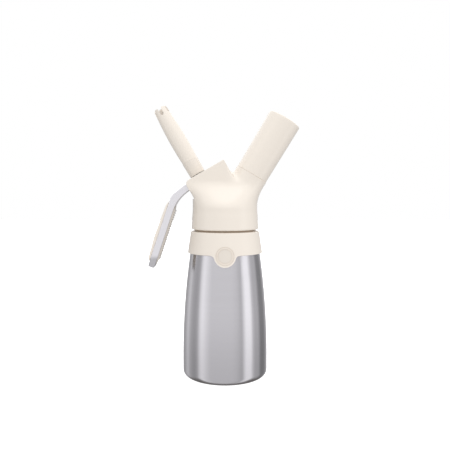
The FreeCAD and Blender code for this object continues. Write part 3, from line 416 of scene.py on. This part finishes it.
class Finish:
    """A node tree for a material or a world."""

    def __init__(self, tree):
        self.tree = tree
        tree.nodes.clear()

    def node(self, kind, settings=None, inputs=None, output=0):
        """Adds a node: its settings first, then the values or links of its inputs."""
        made = self.tree.nodes.new("ShaderNode" + kind)
        for key, value in (settings or {}).items():
            if key == "stops":
                set_stops(made.color_ramp, value)
            else:
                setattr(made, key, value)
        for key, value in (inputs or {}).items():
            if isinstance(value, Socket):
                self.tree.links.new(value.output, made.inputs[key])
            else:
                made.inputs[key].default_value = value
        if output == "all":
            return [Socket(self, socket) for socket in made.outputs]
        return Socket(self, made.outputs[output]) if made.outputs else made

    def parts(self, vector):
        """The X, Y and Z of a vector."""
        return self.node("SeparateXYZ", {}, {0: vector}, "all")

    def tint(self, factor, first, second):
        """A colour between two others."""
        settings = {"data_type": "RGBA", "blend_type": "MIX"}
        return self.node("Mix", settings, {0: factor, 6: first, 7: second}, 2)

    def spot(self):
        """The X, Y and Z of the point that is shaded."""
        return self.parts(self.node("TexCoord", output="Object"))

    def stretched(self, scale, matrix=None):
        """Object coordinates, in an arm's frame if one is given, times a scale per axis."""
        place_on = self.node("TexCoord", output="Object")
        if matrix is not None:
            back = matrix.inverted()
            place_on = self.node("Mapping", {"vector_type": "POINT"}, {
                "Vector": place_on, "Location": back.to_translation(),
                "Rotation": back.to_euler()})
        return self.node("VectorMath", {"operation": "MULTIPLY"}, {0: place_on, 1: scale})

    def noise(self, vector, scale, detail, roughness):
        return self.node("TexNoise", {}, {"Vector": vector, "Scale": scale, "Detail": detail,
                                          "Roughness": roughness})

    def grain(self, scale, detail, roughness=0.6):
        """Noise that is the same in every direction."""
        return self.noise(self.stretched((1.0, 1.0, 1.0)), scale, detail, roughness)

    def eased(self, value, start, end):
        """Eases from 0 to 1 as a value goes from start to end."""
        return self.node("MapRange", {"interpolation_type": "SMOOTHSTEP"},
                         {0: value, 1: start, 2: end, 3: 0.0, 4: 1.0})

    def bump(self, height, strength, distance):
        return self.node("Bump", {}, {"Height": height, "Strength": strength, "Distance": distance})

    def surface(self, inputs):
        shader = self.node("BsdfPrincipled", {}, inputs)
        self.node("OutputMaterial", {}, {"Surface": shader})


def set_stops(ramp, stops):
    while len(ramp.elements) < len(stops):
        ramp.elements.new(0.5)
    for element, (position, value) in zip(ramp.elements, stops):
        element.position = position
        element.color = value


def opaque(value):
    return tuple(value) + (1.0,)


def scaled(value, share):
    """A colour times a share, which is above 1 for a lighter one."""
    return tuple(channel * share for channel in value)


def new_finish(name):
    material = bpy.data.materials.get(name) or bpy.data.materials.new(name)
    material.use_nodes = True
    return material, Finish(material.node_tree)


# ------------------------------ finishes
PAINTED_SHADE_BELOW = 0.075         # painted shade: the bottle's steel is darkened from this height down to its foot, where its reflections are dimmer
TAB_LEVEL = 0.1198        # height of the middle of the collar tab's rings
SHADED_GROOVE = 0.0082           # radius of the darkest line of painted shade in the tab's rings
DISC = 0.0066             # radius of the tab's disc, inside the rings
GAP_SHADOW_LEVEL = 0.14085      # the collar is painted with the gap's shadow above this height
TIP_SHADE_TOP, TIP_SHADE_LOW = 0.1185, 0.1135       # painted dark reflection: the lever's tip darkens between these heights


def brushed_bottle_steel():
    """Steel brushed around the bottle: fine lines that blur reflections up and down."""
    tone = bpy.context.scene.bottle_look.steel
    material, finish = new_finish("bottle_steel")
    lines = finish.noise(finish.stretched((18.0, 18.0, 2600.0)), 1.0, 3.0, 0.65)
    broad = finish.noise(finish.stretched((9.0, 9.0, 420.0)), 1.0, 2.0, 0.5)
    shade = finish.tint(lines * 0.65 + broad * 0.35, opaque(scaled(tone, 0.92)), opaque(tone))
    # painted shade: the steel's colour darkens by up to a fifth towards the foot
    low = finish.eased(finish.spot()[2], PAINTED_SHADE_BELOW, 0.0)
    finish.surface({
        "Base Color": finish.tint(low * 0.2, shade, BLACK),
        "Metallic": 1.0,
        "Roughness": 0.15 + lines * 0.07,
        "Anisotropic": 0.85,
        "Anisotropic Rotation": 0.25,
        "Normal": finish.bump(lines, 0.12, 0.00005),
    })
    return material


def moulded_cream(name="cream_plastic", share=1.0):
    """Smooth satin plastic with a very fine moulded grain."""
    tone = scaled(bpy.context.scene.plastic_look.cream, share)
    material, finish = new_finish(name)
    grain = finish.grain(1500.0, 2.0)
    cloud = finish.grain(45.0, 2.0, 0.5)
    shade = finish.tint(cloud * 0.6 + grain * 0.4, opaque(scaled(tone, 0.985)), opaque(tone))
    finish.surface({
        "Base Color": shade,
        "Roughness": 0.2 + grain * 0.05,
        "Specular IOR Level": 0.5,
        "Normal": finish.bump(grain, 0.06, 0.00004),
    })
    return material


def collar_cream():
    """The cream plastic with painted shade in the tab's engraved rings, its disc a little darker,
    and a painted shadow in a band around the spigot.
    """
    look = bpy.context.scene.plastic_look
    material, finish = new_finish("collar_cream")
    line_fall, edge_fall = -2500.0, 4000.0      # per metre, so a line is 0.4 mm to each side
    grain = finish.grain(1500.0, 2.0)
    x, y, z = finish.spot()
    up = z - TAB_LEVEL
    reach = (x * x + up * up).root()
    line = ((reach - SHADED_GROOVE).size() * line_fall + 1.0).held()
    inner = ((reach - DISC).size() * line_fall + 1.0).held()
    front = (y * -400.0 - 8.0).held()           # from 0 at 20 mm before the axis to 1 at 22.5 mm
    disc = ((DISC - reach) * edge_fall).held() * front
    band = ((z - GAP_SHADOW_LEVEL) * edge_fall).held()
    shade = finish.tint(grain, opaque(scaled(look.cream, 0.985)), opaque(look.cream))
    shade = finish.tint(disc * 0.1, shade, BLACK)
    # painted shade in the tab's engraved rings, in the colour of the gap's shade
    shade = finish.tint((line + inner * 0.5) * front * 0.35, shade, opaque(look.gap))
    # painted shadow of the gap between the collar and the head
    shade = finish.tint(band, shade, opaque(look.gap))
    finish.surface({
        "Base Color": shade,
        "Roughness": 0.28 + grain * 0.06,
        "Specular IOR Level": 0.5,
        "Normal": finish.bump(grain, 0.06, 0.00004),
    })
    return material


def plain_plastic(name, tone, roughness):
    material, finish = new_finish(name)
    grain = finish.grain(900.0, 3.0)
    finish.surface({
        "Base Color": finish.tint(grain, opaque(scaled(tone, 0.94)), opaque(tone)),
        "Roughness": roughness + grain * 0.1,
        "Normal": finish.bump(grain, 0.1, 0.00005),
    })
    return material


def turned_metal(name, tone, matrix):
    """Metal turned on a lathe about an arm's axis, with fine tool marks around it."""
    material, finish = new_finish(name)
    marks = finish.noise(finish.stretched((30.0, 30.0, 3200.0), matrix), 1.0, 3.0, 0.6)
    finish.surface({
        "Base Color": finish.tint(marks, opaque(scaled(tone, 0.9)), opaque(tone)),
        "Metallic": 1.0,
        "Roughness": 0.24 + marks * 0.12,
        "Normal": finish.bump(marks, 0.15, 0.00005),
    })
    return material


def satin_lever_metal():
    """Pale satin metal of the lever, finely blasted, with a painted dark reflection towards its
    tip.
    """
    tone = bpy.context.scene.metal_look.lever
    material, finish = new_finish("lever_metal")
    grain = finish.grain(2200.0, 3.0)
    shade = finish.tint(grain, opaque(scaled(tone, 1.08)), opaque(scaled(tone, 1.14)))
    # painted dark reflection: the colour darkens by up to 36 percent towards the tip's end
    tip = finish.eased(finish.spot()[2], TIP_SHADE_TOP, TIP_SHADE_LOW)
    finish.surface({
        "Base Color": finish.tint(tip * 0.36, shade, BLACK),
        "Metallic": 1.0,
        "Roughness": 0.3 + grain * 0.1,
        "Normal": finish.bump(grain, 0.08, 0.00004),
    })
    return material


def dress(piece, material):
    piece.data.materials.clear()
    piece.data.materials.append(material)
    return piece


def dress_nodes(material, *nodes):
    """Gives a finish to pieces that are kept as they were packed."""
    for node in nodes:
        dress(frame["nodes"][node], material)


# ------------------------------ head
LEFT_OVER = 0.0015        # the leaning foot reaches this far past the block's left face
SOCKET_BLEND = 0.005      # length over which the foot eases into the socket
CREASE = math.radians(12)           # inward edges that fold by more than this are creases
NOTCH_LEFT, NOTCH_LOW = -0.004, 0.168    # the notch's creases are right of and above these
VOXEL = 0.0005            # how fine the blended head's mesh is
ROUND, FINE_ROUND = 128, 160        # facets around a piece, and around both sides of the seam


def smooth_share(value):
    """Eases from 0 to 1 as a value does."""
    held = min(max(value, 0.0), 1.0)
    return held * held * (3 - 2 * held)


def soft_larger(first, second, blend):
    """The larger of two lengths, eased where they are nearly equal."""
    near = max(blend - abs(first - second), 0.0) / blend
    return max(first, second) + near * near * blend / 4


def foot_radius_at(height):
    """Outer radius of the round lower part, easing into the waist, with a rounded lower edge."""
    sizes = bpy.context.scene.head_sizes
    low = (height - sizes.foot_height) / (sizes.middle_height - sizes.foot_height)
    if low < 1:
        radius = sizes.foot_radius + (sizes.middle_radius - sizes.foot_radius) * low
    else:
        high = min((height - sizes.middle_height) / (sizes.waist_height - sizes.middle_height), 1.0)
        widening = sizes.waist_radius - sizes.middle_radius
        radius = sizes.middle_radius + widening * (2 * high - high ** 2)
    short = max(sizes.edge_rounding - (height - sizes.foot_height), 0.0)
    return radius - sizes.edge_rounding + math.sqrt(sizes.edge_rounding ** 2 - short ** 2)


def head_ring(height, count=192):
    """The head's outline at a height: round at the foot, long and shallow where the arms part."""
    sizes = bpy.context.scene.head_sizes
    radius = foot_radius_at(height)
    share = smooth_share((height - sizes.waist_height) / (sizes.lean_height - sizes.waist_height))
    socket_half = sizes.socket_radius / math.cos(sizes.charger_lean)
    socket_right = socket_half + (height - sizes.charger_height) * math.tan(sizes.charger_lean)
    block_edge = valve_frame() @ Vector((-sizes.block_left - LEFT_OVER, 0, 0))
    block_left = (height - block_edge.z) * math.tan(sizes.valve_lean) - block_edge.x
    right = soft_larger(radius, socket_right, SOCKET_BLEND)
    left = max(radius, block_left)
    right_half = radius + (socket_half - radius) * share
    depth = radius + (sizes.block_depth - radius) * share
    corner = math.radians(25)           # where the round outline turns into the block's corner
    ring = []
    for index in range(count):
        cosine = math.cos(2 * math.pi * (index + 0.5) / count)
        sine = math.sin(2 * math.pi * (index + 0.5) / count)
        if cosine > 0:
            ring.append(Vector((right - right_half * (1 - cosine), depth * sine, height)))
            continue
        flat_across = left * max(cosine / math.cos(corner), -1.0)
        flat_depth = sizes.block_depth * max(-1.0, min(1.0, sine / math.sin(corner)))
        ring.append(Vector((radius * cosine + (flat_across - radius * cosine) * share,
                            radius * sine + (flat_depth - radius * sine) * share, height)))
    return ring


def head_body():
    """The round foot, which leans back at the front and at the rear to meet the arms."""
    sizes = bpy.context.scene.head_sizes
    edge_steps, steps = 6, 64
    heights = [sizes.foot_height
               + sizes.edge_rounding * (1 - math.cos(math.pi / 2 * step / edge_steps))
               for step in range(edge_steps)]
    start = sizes.foot_height + sizes.edge_rounding
    heights += [start + (sizes.lean_height - start) * step / steps for step in range(steps + 1)]
    return lofted("head", [head_ring(height) for height in heights])


def valve_block():
    """The flat-sided block that carries the valve."""
    sizes = bpy.context.scene.head_sizes
    left, right, top = -sizes.block_left - OVER, sizes.block_right, sizes.block_top
    left_drop, right_drop = 0.0090, 0.0298      # how far down each side reaches, into the foot
    block = slab("block", in_world(valve_frame(), [
        (left, top - left_drop), (left, top + OVER), (right, top + OVER),
        (right, top - right_drop)]), sizes.block_depth)
    to_block = valve_frame().inverted()
    choose(block)
    bpy.ops.object.mode_set(mode="EDIT")
    shape = bmesh.from_edit_mesh(block.data)
    for edge in shape.edges:
        first, second = [to_block @ vertex.co for vertex in edge.verts]
        on_right = min(first.x, second.x) > sizes.block_right - JOIN
        edge.select_set(on_right and abs(first.y - second.y) < JOIN)
    bmesh.update_edit_mesh(block.data)
    bpy.ops.mesh.bevel(offset=sizes.block_rounding, segments=6, affect="EDGES")
    bpy.ops.object.mode_set(mode="OBJECT")
    return block


def block_trim():
    """What is cut away over the block's top and beside its left face."""
    sizes = bpy.context.scene.head_sizes
    step_height = sizes.foot_height + 0.029
    step_rounding, top_rounding = 0.0008, 0.0045
    far, past = 0.06, 0.02                      # clear of the head
    left = valve_frame() @ Vector((-sizes.block_left, 0, 0))
    step_x = left.x - (step_height - left.z) * math.tan(sizes.valve_lean)
    corners = [(step_x, step_height, step_rounding)]
    corners += in_world(valve_frame(), [
        (-sizes.block_left, sizes.block_top, top_rounding), (far, sizes.block_top),
        (far, sizes.block_top + far), (-far, sizes.block_top + far)])
    corners += [(-2 * far, step_height + far), (-2 * far, step_height)]
    return slab("trim", rounded(corners), sizes.foot_radius + past)


def saddle():
    """What fills the bottom of the notch between the block and the socket."""
    sizes = bpy.context.scene.head_sizes
    select_nothing()
    bpy.ops.mesh.primitive_uv_sphere_add(
        segments=64, ring_count=48, radius=1.0,
        location=(sizes.notch_across, 0.0, sizes.notch_height - sizes.saddle_drop))
    piece = bpy.context.object
    piece.name = "saddle"
    piece.scale = (sizes.saddle_width, sizes.block_depth, sizes.saddle_drop)
    settle(piece)
    return piece


def notch_points(piece):
    """Points along the inward creases between the block and the socket."""
    shape = bmesh.new()
    shape.from_mesh(piece.data)
    points = []
    for edge in shape.edges:
        if len(edge.link_faces) == 2 and edge.calc_face_angle_signed(0.0) < -CREASE:
            first, second = [vertex.co.copy() for vertex in edge.verts]
            middle = (first + second) / 2
            if middle.x > NOTCH_LEFT and middle.z > NOTCH_LOW:
                points += [first, middle, second]
    shape.free()
    return points


def near_notch(piece, points, reach):
    """A vertex group that is strongest in the notch and fades out at a distance from it."""
    tree = KDTree(len(points))
    for index, point in enumerate(points):
        tree.insert(point, index)
    tree.balance()
    group = piece.vertex_groups.new(name="notch")
    for vertex in piece.data.vertices:
        distance = tree.find(vertex.co)[2]
        if distance < reach:
            group.add([vertex.index], smooth_share(2 - 2 * distance / reach), "REPLACE")
    return group.name


def socket_rim():
    """The crisp edge at the socket's seam, which grows out of the smoothed socket."""
    sizes = bpy.context.scene.head_sizes
    radius, top = sizes.socket_radius, sizes.socket_length
    root, full, edge = top - 0.004, top - 0.0006, 0.0001
    return lathe("rim", [(0.0, root), (radius - 0.0002, root), (radius, full),
                         (radius, top - edge), (radius - edge, top), (0.0, top)], FINE_ROUND)


def head_cavities(piece):
    """Cuts the neck's room, the valve's bore, the lever's pocket and the charger port's room."""
    sizes = bpy.context.scene.head_sizes
    low, lip, neck_roof = sizes.foot_height - OVER, sizes.foot_height + 0.0016, 0.1593
    lip_radius, neck_radius = 0.0299, 0.02945
    neck_room = lathe("neck_room", [
        (0.0, low), (lip_radius, low), (lip_radius, lip), (neck_radius, lip),
        (neck_radius, neck_roof), (0.0, neck_roof)], ROUND)
    combine(piece, neck_room, "DIFFERENCE")

    boss_radius, boss_low, boss_top = 0.01065, 0.008, 0.0176
    bore_radius, bore_low, bore_top = 0.00905, 0.007, 0.037
    stem_radius = 0.00845
    roof = sizes.block_top - 0.0015
    floor = roof - 0.0145
    half_width, outer, inner, mouth_side = 0.0094, -0.0342, 0.0262, -0.012
    pocket = [(outer, roof), (inner, roof), (inner, roof - 0.0074), (0.010, floor + 0.0026),
              (0.009, floor), (-0.009, floor), (outer, floor)]
    mouth_low, mouth_top = roof - OVER, roof + 0.0215
    mouth = [(outer, mouth_low), (mouth_side, mouth_low),
             (mouth_side, mouth_top), (outer, mouth_top)]
    arm = valve_frame()
    boss = post("boss", boss_radius, boss_low, boss_top)
    combine(piece, place(boss, arm), "UNION")
    bore = post("bore", bore_radius, bore_low, bore_top)
    combine(piece, place(bore, arm), "DIFFERENCE")
    for name, corners in (("pocket", pocket), ("mouth", mouth)):
        room = slab(name, in_world(arm, corners), half_width)
        combine(piece, room, "DIFFERENCE")
    hole = post("stem_hole", stem_radius, mouth_low, sizes.block_top + OVER)
    combine(piece, place(hole, arm), "DIFFERENCE")

    port_radius, port_depth = 0.01245, 0.012
    top = sizes.socket_length
    port = post("port_room", port_radius, top - port_depth, top + OVER)
    combine(piece, place(port, charger_frame()), "DIFFERENCE")

    pin_radius, pin_front, pin_back = 0.00165, -0.0131, 0.0355
    pin = post("pin_hole", pin_radius, pin_front, pin_back, 32)
    across = Matrix.Translation((0.0225, 0, 0.0467)) @ Matrix.Rotation(-math.pi / 2, 4, "X")
    combine(piece, place(pin, arm @ across), "DIFFERENCE")
    return piece


class DISPENSER_OT_head(bpy.types.Operator):
    """Models the head: a round foot, the valve's block and the charger's socket, blended"""
    bl_idname = "dispenser.head"
    bl_label = "Head"

    def execute(self, context):
        sizes = context.scene.head_sizes
        head = combine(head_body(), valve_block(), "UNION")
        combine(head, block_trim(), "DIFFERENCE")
        socket_low, even_passes, notch_passes = 0.020, 5, 220
        socket = post("socket", sizes.socket_radius, socket_low, sizes.socket_length, ROUND)
        combine(head, place(socket, charger_frame()), "UNION")
        combine(head, saddle(), "UNION")
        points = notch_points(head)
        if not points:
            raise RuntimeError("the block and the socket don't meet in a notch")
        finish_with(head, "REMESH", mode="VOXEL", voxel_size=VOXEL)
        finish_with(head, "SMOOTH", factor=0.5, iterations=even_passes)
        group = near_notch(head, points, sizes.notch_reach)
        finish_with(head, "SMOOTH", factor=0.5, iterations=notch_passes, vertex_group=group)
        head.vertex_groups.clear()
        combine(head, place(socket_rim(), charger_frame()), "UNION")
        head_cavities(head)
        soften(dress(head, moulded_cream()), 35.0)
        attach(head, "head")
        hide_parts("head_shell")
        return {"FINISHED"}


# ------------------------------ nozzle, holder and grips
def slot_cutter():
    """What cuts one slot of the mouth: a round bottom, and a mouth that rounds the teeth."""
    sizes = bpy.context.scene.nozzle_sizes
    top = sizes.foot + sizes.span
    low = top - sizes.slot_depth
    half = sizes.slot_width / 2
    bottom_rounding = half * 0.98               # a half circle, but for a short flat
    wide = half + sizes.tooth_rounding + OVER
    return slab("slot", rounded([
        (-half, low, bottom_rounding), (half, low, bottom_rounding),
        (half, top, sizes.tooth_rounding), (wide, top), (wide, top + OVER),
        (-wide, top + OVER), (-wide, top), (-half, top, sizes.tooth_rounding),
    ]), sizes.belly_radius / 2, -sizes.belly_radius / 2 - OVER)


def turned_copy(piece, angle):
    """A copy with its own mesh, turned about Z."""
    twin = piece.copy()
    twin.data = piece.data.copy()
    bpy.context.scene.collection.objects.link(twin)
    return place(twin, Matrix.Rotation(angle, 4, "Z"))


class DISPENSER_OT_nozzle(bpy.types.Operator):
    """Models the nozzle: a hollow body with a slight belly and a ring of rounded teeth"""
    bl_idname = "dispenser.nozzle"
    bl_label = "Nozzle"

    def execute(self, context):
        sizes = context.scene.nozzle_sizes
        foot = sizes.foot
        top = foot + sizes.span
        belly = (sizes.belly_radius, foot + sizes.belly_level)
        edge, arc_steps = 0.0001, 40
        outline = [(sizes.foot_radius - edge, foot), (sizes.foot_radius, foot + edge)]
        outline += arc_through(outline[-1], belly, (sizes.tip_radius, top), arc_steps)
        socket_top, seat, seat_radius = foot + 0.017, foot + 0.001, sizes.socket_radius + 0.0012
        outline += [(sizes.tip_bore, top), (sizes.socket_radius, socket_top),
                    (sizes.socket_radius, seat), (seat_radius, seat), (seat_radius, foot)]
        nozzle = lathe("nozzle_body", outline + outline[:1], ROUND)
        cutter = slot_cutter()
        for index in range(sizes.slots):
            twin = turned_copy(cutter, sizes.slot_turn + 2 * math.pi * index / sizes.slots)
            combine(nozzle, twin, "DIFFERENCE")
        bpy.data.objects.remove(cutter)
        place(nozzle, valve_frame())
        soften(dress(nozzle, moulded_cream()), 35.0)
        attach(nozzle, "nozzle")
        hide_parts("nozzle")
        return {"FINISHED"}


class DISPENSER_OT_holder(bpy.types.Operator):
    """Models the charger holder: a tapered sleeve with a rounded, closed end"""
    bl_idname = "dispenser.holder"
    bl_label = "Charger holder"

    def execute(self, context):
        sizes = context.scene.holder_sizes
        mouth, rounding = sizes.mouth, sizes.end_rounding
        edge, middle, arc_steps, end_steps = 0.0003, mouth + 0.030, 24, 8
        outline = [(sizes.mouth_radius - edge, mouth), (sizes.mouth_radius, mouth + edge)]
        outline += arc_through(outline[-1], (sizes.middle_radius, middle),
                               (sizes.end_radius, sizes.end - rounding), arc_steps)
        outline += [(sizes.end_radius - rounding * (1 - math.cos(math.pi / 2 * step / end_steps)),
                     sizes.end - rounding * (1 - math.sin(math.pi / 2 * step / end_steps)))
                    for step in range(1, end_steps + 1)]
        outline += [(0.0, sizes.end), (0.0, sizes.room_end), (sizes.room_radius, sizes.room_end),
                    (sizes.room_radius, mouth)]
        holder = lathe("holder_cover", outline + outline[:1], FINE_ROUND)
        place(holder, charger_frame())
        soften(dress(holder, moulded_cream()), 35.0)
        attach(holder, "holder")
        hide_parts("holder_shell")
        return {"FINISHED"}


def grip_frame():
    """The lever's grip: X goes into the bar from its outer face, and -Z down along it."""
    sizes = bpy.context.scene.grip_sizes
    return (Matrix.Translation((sizes.bend_across, 0, sizes.bend_height))
            @ Matrix.Rotation(sizes.lean, 4, "Y"))


def finish_pad(pad, node, material, softness):
    place(pad, grip_frame())
    finish_with(pad, "BEVEL", width=softness, segments=3, limit_method="ANGLE",
                angle_limit=math.radians(40), harden_normals=False)
    soften(dress(pad, material), 40.0)
    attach(pad, "lever")
    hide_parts(node)


class DISPENSER_OT_grips(bpy.types.Operator):
    """Models the lever's pads: a smooth crowned one outside and a ribbed one inside"""
    bl_idname = "dispenser.grips"
    bl_label = "Lever grips"

    def execute(self, context):
        sizes = context.scene.grip_sizes
        gap = 0.00005             # between a pad and the bar
        outer_edge, inner_edge = 0.0006, 0.00012
        # across and down along the bar from its bend, with the rounding of each corner
        outer = rounded([(-gap, -0.0062), (-0.0019, -0.0107, 0.004), (-sizes.crown, -0.0416, 0.06),
                         (-0.0021, -0.0642, 0.003), (-gap, -0.0670)])
        pad = slab("outer_pad", outer, sizes.half_width)
        finish_pad(pad, "outer_grip", moulded_cream(), outer_edge)
        ribs_top, ribs_span, lead_in, pad_end = -0.0130, 0.0512, -0.0090, -0.0686
        valley, crest = sizes.bar + sizes.rib_valley, sizes.bar + sizes.rib_crest
        pitch = sizes.rib_pitch
        ribbed = [(sizes.bar + gap, ribs_top), (sizes.bar + 0.0003, lead_in)]
        for index in range(int(ribs_span / pitch)):
            start = ribs_top - index * pitch
            ribbed += [(valley, start), (crest, start - pitch * 0.25),
                       (crest, start - pitch * 0.65), (valley, start - pitch * 0.9)]
        ribbed.append((sizes.bar + gap, pad_end))
        pad = slab("inner_pad", ribbed, sizes.half_width)
        # painted shade: the inner pad gets a darker copy of the cream plastic
        finish_pad(pad, "inner_grip", moulded_cream("cream_painted_shade", 0.74), inner_edge)
        return {"FINISHED"}


# ------------------------------ pieces kept from the assembly
class DISPENSER_OT_bottle(bpy.types.Operator):
    """Finishes the bottle in brushed steel"""
    bl_idname = "dispenser.bottle"
    bl_label = "Bottle"

    def execute(self, context):
        dress_nodes(brushed_bottle_steel(), "bottle")
        return {"FINISHED"}


class DISPENSER_OT_plastic(bpy.types.Operator):
    """Finishes the collar, the nozzle adapter, the thread ring and the seals"""
    bl_idname = "dispenser.plastic"
    bl_label = "Plastic and rubber pieces"

    def execute(self, context):
        look = context.scene.plastic_look
        dress_nodes(moulded_cream("cream_adapter", 0.95), "nozzle_adapter")
        dress_nodes(collar_cream(), "collar")
        dress_nodes(plain_plastic("thread_plastic", look.thread, 0.45), "thread_ring")
        dress_nodes(plain_plastic("seal_rubber", look.rubber, 0.7), "head_gasket", "rod_o_ring",
                    "valve_seal", "nozzle_washer", "charger_seal", "check_valve")
        return {"FINISHED"}


class DISPENSER_OT_metal(bpy.types.Operator):
    """Finishes the lever, the valve, the charger and its port in metal"""
    bl_idname = "dispenser.metal"
    bl_label = "Metal pieces"

    def execute(self, context):
        look = context.scene.metal_look
        dress_nodes(turned_metal("valve_steel", look.valve, valve_frame()), "valve_guide",
                    "return_spring", "valve_rod", "valve_nut", "lever_pin", "piercing_pin")
        dress_nodes(turned_metal("port_metal", look.port, charger_frame()),
                    "charger_port", "holder_sleeve")
        dress_nodes(turned_metal("charger_steel", look.charger, charger_frame()), "gas_charger")
        dress_nodes(satin_lever_metal(), "lever")
        return {"FINISHED"}


# ------------------------------ stage
# what the steel reflects from each side: degrees from the front, positive to the right, and light
SURROUNDINGS = (
    (-180, 0.30), (-168, 0.32), (-152, 0.34), (-142, 0.32), (-132, 0.47), (-121, 0.58),
    (-112, 0.45), (-105, 0.39), (-97, 0.35), (-90, 0.34), (-81, 0.42), (-74, 0.72),
    (-66, 0.86), (-58, 0.78), (-50, 0.69), (-40, 0.60), (-20, 0.60), (0, 0.60),
    (20, 0.60), (33, 0.56), (40, 0.50), (48, 0.45), (53, 0.70), (60, 0.93),
    (74, 0.93), (82, 0.60), (90, 0.44), (104, 0.42), (114, 0.21), (136, 0.21),
    (150, 0.38), (168, 0.38),
)
BAND_TINT = (1.5, 1.49, 1.52)       # colour of the light in those bands
CEILING = (1.6, 1.6, 1.6, 1.0)      # what reflections that look up see
ZENITH = (2.4, 2.4, 2.4, 1.0)       # straight up
TABLE = (0.25, 0.24, 0.23, 1.0)     # steeply down and not to the front
FLOOR_GREY, FLOOR_GLOW = 0.9, 0.85
BOX_AT, BOX_AIM, BOX_WIDTH = (-0.05, -0.35, 0.85), (0.0, 0.0, 0.15), 0.6
SENSOR = 36.0                       # width of the camera's sensor, in mm


def studio_world():
    """White for the camera, bands of light for reflections, and soft light from above."""
    world = bpy.data.worlds.new("studio")
    world.use_nodes = True
    bpy.context.scene.world = world
    finish = Finish(world.node_tree)
    towards = finish.node("TexCoord", output="Generated")
    x, y, z = finish.parts(towards)
    angle = x.maths("ARCTAN2", x, 0.0 - y)
    stops = [((degrees + 180) / 360, opaque(scaled(BAND_TINT, light)))
             for degrees, light in SURROUNDINGS]
    around = finish.node("ValToRGB", {"stops": stops}, {0: angle / (2 * math.pi) + 0.5})
    behind = finish.eased(y, 0.0, 0.4)
    mirrored = finish.tint(finish.eased(z + behind * 0.15, 0.25, 0.5), around, CEILING)
    mirrored = finish.tint(finish.eased(z, 0.82, 0.88), mirrored, ZENITH)
    under = finish.eased(z, -0.4, -0.7) * finish.eased(y, -0.35, 0.0)
    mirrored = finish.tint(under, mirrored, TABLE)
    soft = 0.84 + x * 0.14 - y * 0.2 + z * 0.34     # most from above, the right and the front
    ambient = finish.node("CombineColor", {}, {0: soft, 1: soft, 2: soft})
    seen = finish.tint(finish.node("LightPath", output="Is Glossy Ray"), ambient, mirrored)
    seen = finish.tint(finish.node("LightPath", output="Is Camera Ray"), seen, WHITE)
    background = finish.node("Background", {}, {"Color": seen, "Strength": 1.0})
    finish.node("OutputWorld", {}, {"Surface": background})


def studio_floor(setup):
    select_nothing()
    bpy.ops.mesh.primitive_plane_add(size=setup.floor, location=(0, 0, 0))
    floor = bpy.context.object
    floor.name = "floor"
    material, finish = new_finish("pale_floor")
    finish.surface({"Base Color": opaque(scaled(WHITE[:3], FLOOR_GREY)), "Roughness": 0.9,
                    "Emission Color": WHITE, "Emission Strength": FLOOR_GLOW})
    dress(floor, material)
    floor.visible_glossy = False
    floor.visible_diffuse = False
    floor.visible_shadow = False
    return floor


def softbox(name, place_at, aim, width, power):
    select_nothing()
    bpy.ops.object.light_add(type="AREA", location=place_at)
    lamp = bpy.context.object
    lamp.name = name
    lamp.data.shape = "SQUARE"
    lamp.data.size = width
    lamp.data.energy = power
    lamp.rotation_euler = (Vector(aim) - Vector(place_at)).to_track_quat("-Z", "Y").to_euler()
    lamp.visible_camera = False
    return lamp


class DISPENSER_OT_stage(bpy.types.Operator):
    """Sets the pale floor, the soft studio light and the camera"""
    bl_idname = "dispenser.stage"
    bl_label = "Stage, light and camera"

    def execute(self, context):
        setup = context.scene.studio_setup
        studio_world()
        studio_floor(setup)
        softbox("top_light", BOX_AT, BOX_AIM, BOX_WIDTH, setup.top_power)
        target = Vector((0.0, 0.0, setup.target))
        towards = Vector((0.0, math.cos(setup.pitch), -math.sin(setup.pitch)))
        bpy.ops.object.camera_add(location=target - towards * setup.distance)
        camera = context.object
        camera.rotation_euler = towards.to_track_quat("-Z", "Y").to_euler()
        camera.data.sensor_width = SENSOR
        camera.data.lens = SENSOR / 2 / math.tan(setup.field / 2)
        context.scene.camera = camera
        context.scene.view_settings.view_transform = "Standard"
        return {"FINISHED"}


class DISPENSER_PT_panel(bpy.types.Panel):
    """Lists the steps that model and finish the dispenser"""
    bl_idname = "DISPENSER_PT_panel"
    bl_label = "Dispenser"
    bl_space_type = "VIEW_3D"
    bl_region_type = "UI"
    bl_category = "Dispenser"

    def draw(self, context):
        for step in STEPS:
            self.layout.operator(step.bl_idname)


GROUPS = {
    "bottle_look": BottleLook,
    "head_sizes": HeadSizes,
    "nozzle_sizes": NozzleSizes,
    "holder_sizes": HolderSizes,
    "grip_sizes": GripSizes,
    "plastic_look": PlasticLook,
    "metal_look": MetalLook,
    "studio_setup": StudioSetup,
}
STEPS = (DISPENSER_OT_bottle, DISPENSER_OT_plastic, DISPENSER_OT_metal, DISPENSER_OT_head,
         DISPENSER_OT_nozzle, DISPENSER_OT_holder, DISPENSER_OT_grips, DISPENSER_OT_stage)


def register():
    for group in GROUPS.values():
        bpy.utils.register_class(group)
    for name, group in GROUPS.items():
        setattr(bpy.types.Scene, name, PointerProperty(type=group))
    for step in STEPS:
        bpy.utils.register_class(step)
    bpy.utils.register_class(DISPENSER_PT_panel)


def unregister():
    bpy.utils.unregister_class(DISPENSER_PT_panel)
    for step in reversed(STEPS):
        bpy.utils.unregister_class(step)
    for name, group in reversed(GROUPS.items()):
        delattr(bpy.types.Scene, name)
        bpy.utils.unregister_class(group)


def main():
    register()
    bpy.ops.dispenser.bottle()
    bpy.ops.dispenser.plastic()
    bpy.ops.dispenser.metal()
    bpy.ops.dispenser.head()
    bpy.ops.dispenser.nozzle()
    bpy.ops.dispenser.holder()
    bpy.ops.dispenser.grips()
    bpy.ops.dispenser.stage()
    select_nothing()


if __name__ == "__main__":
    main()
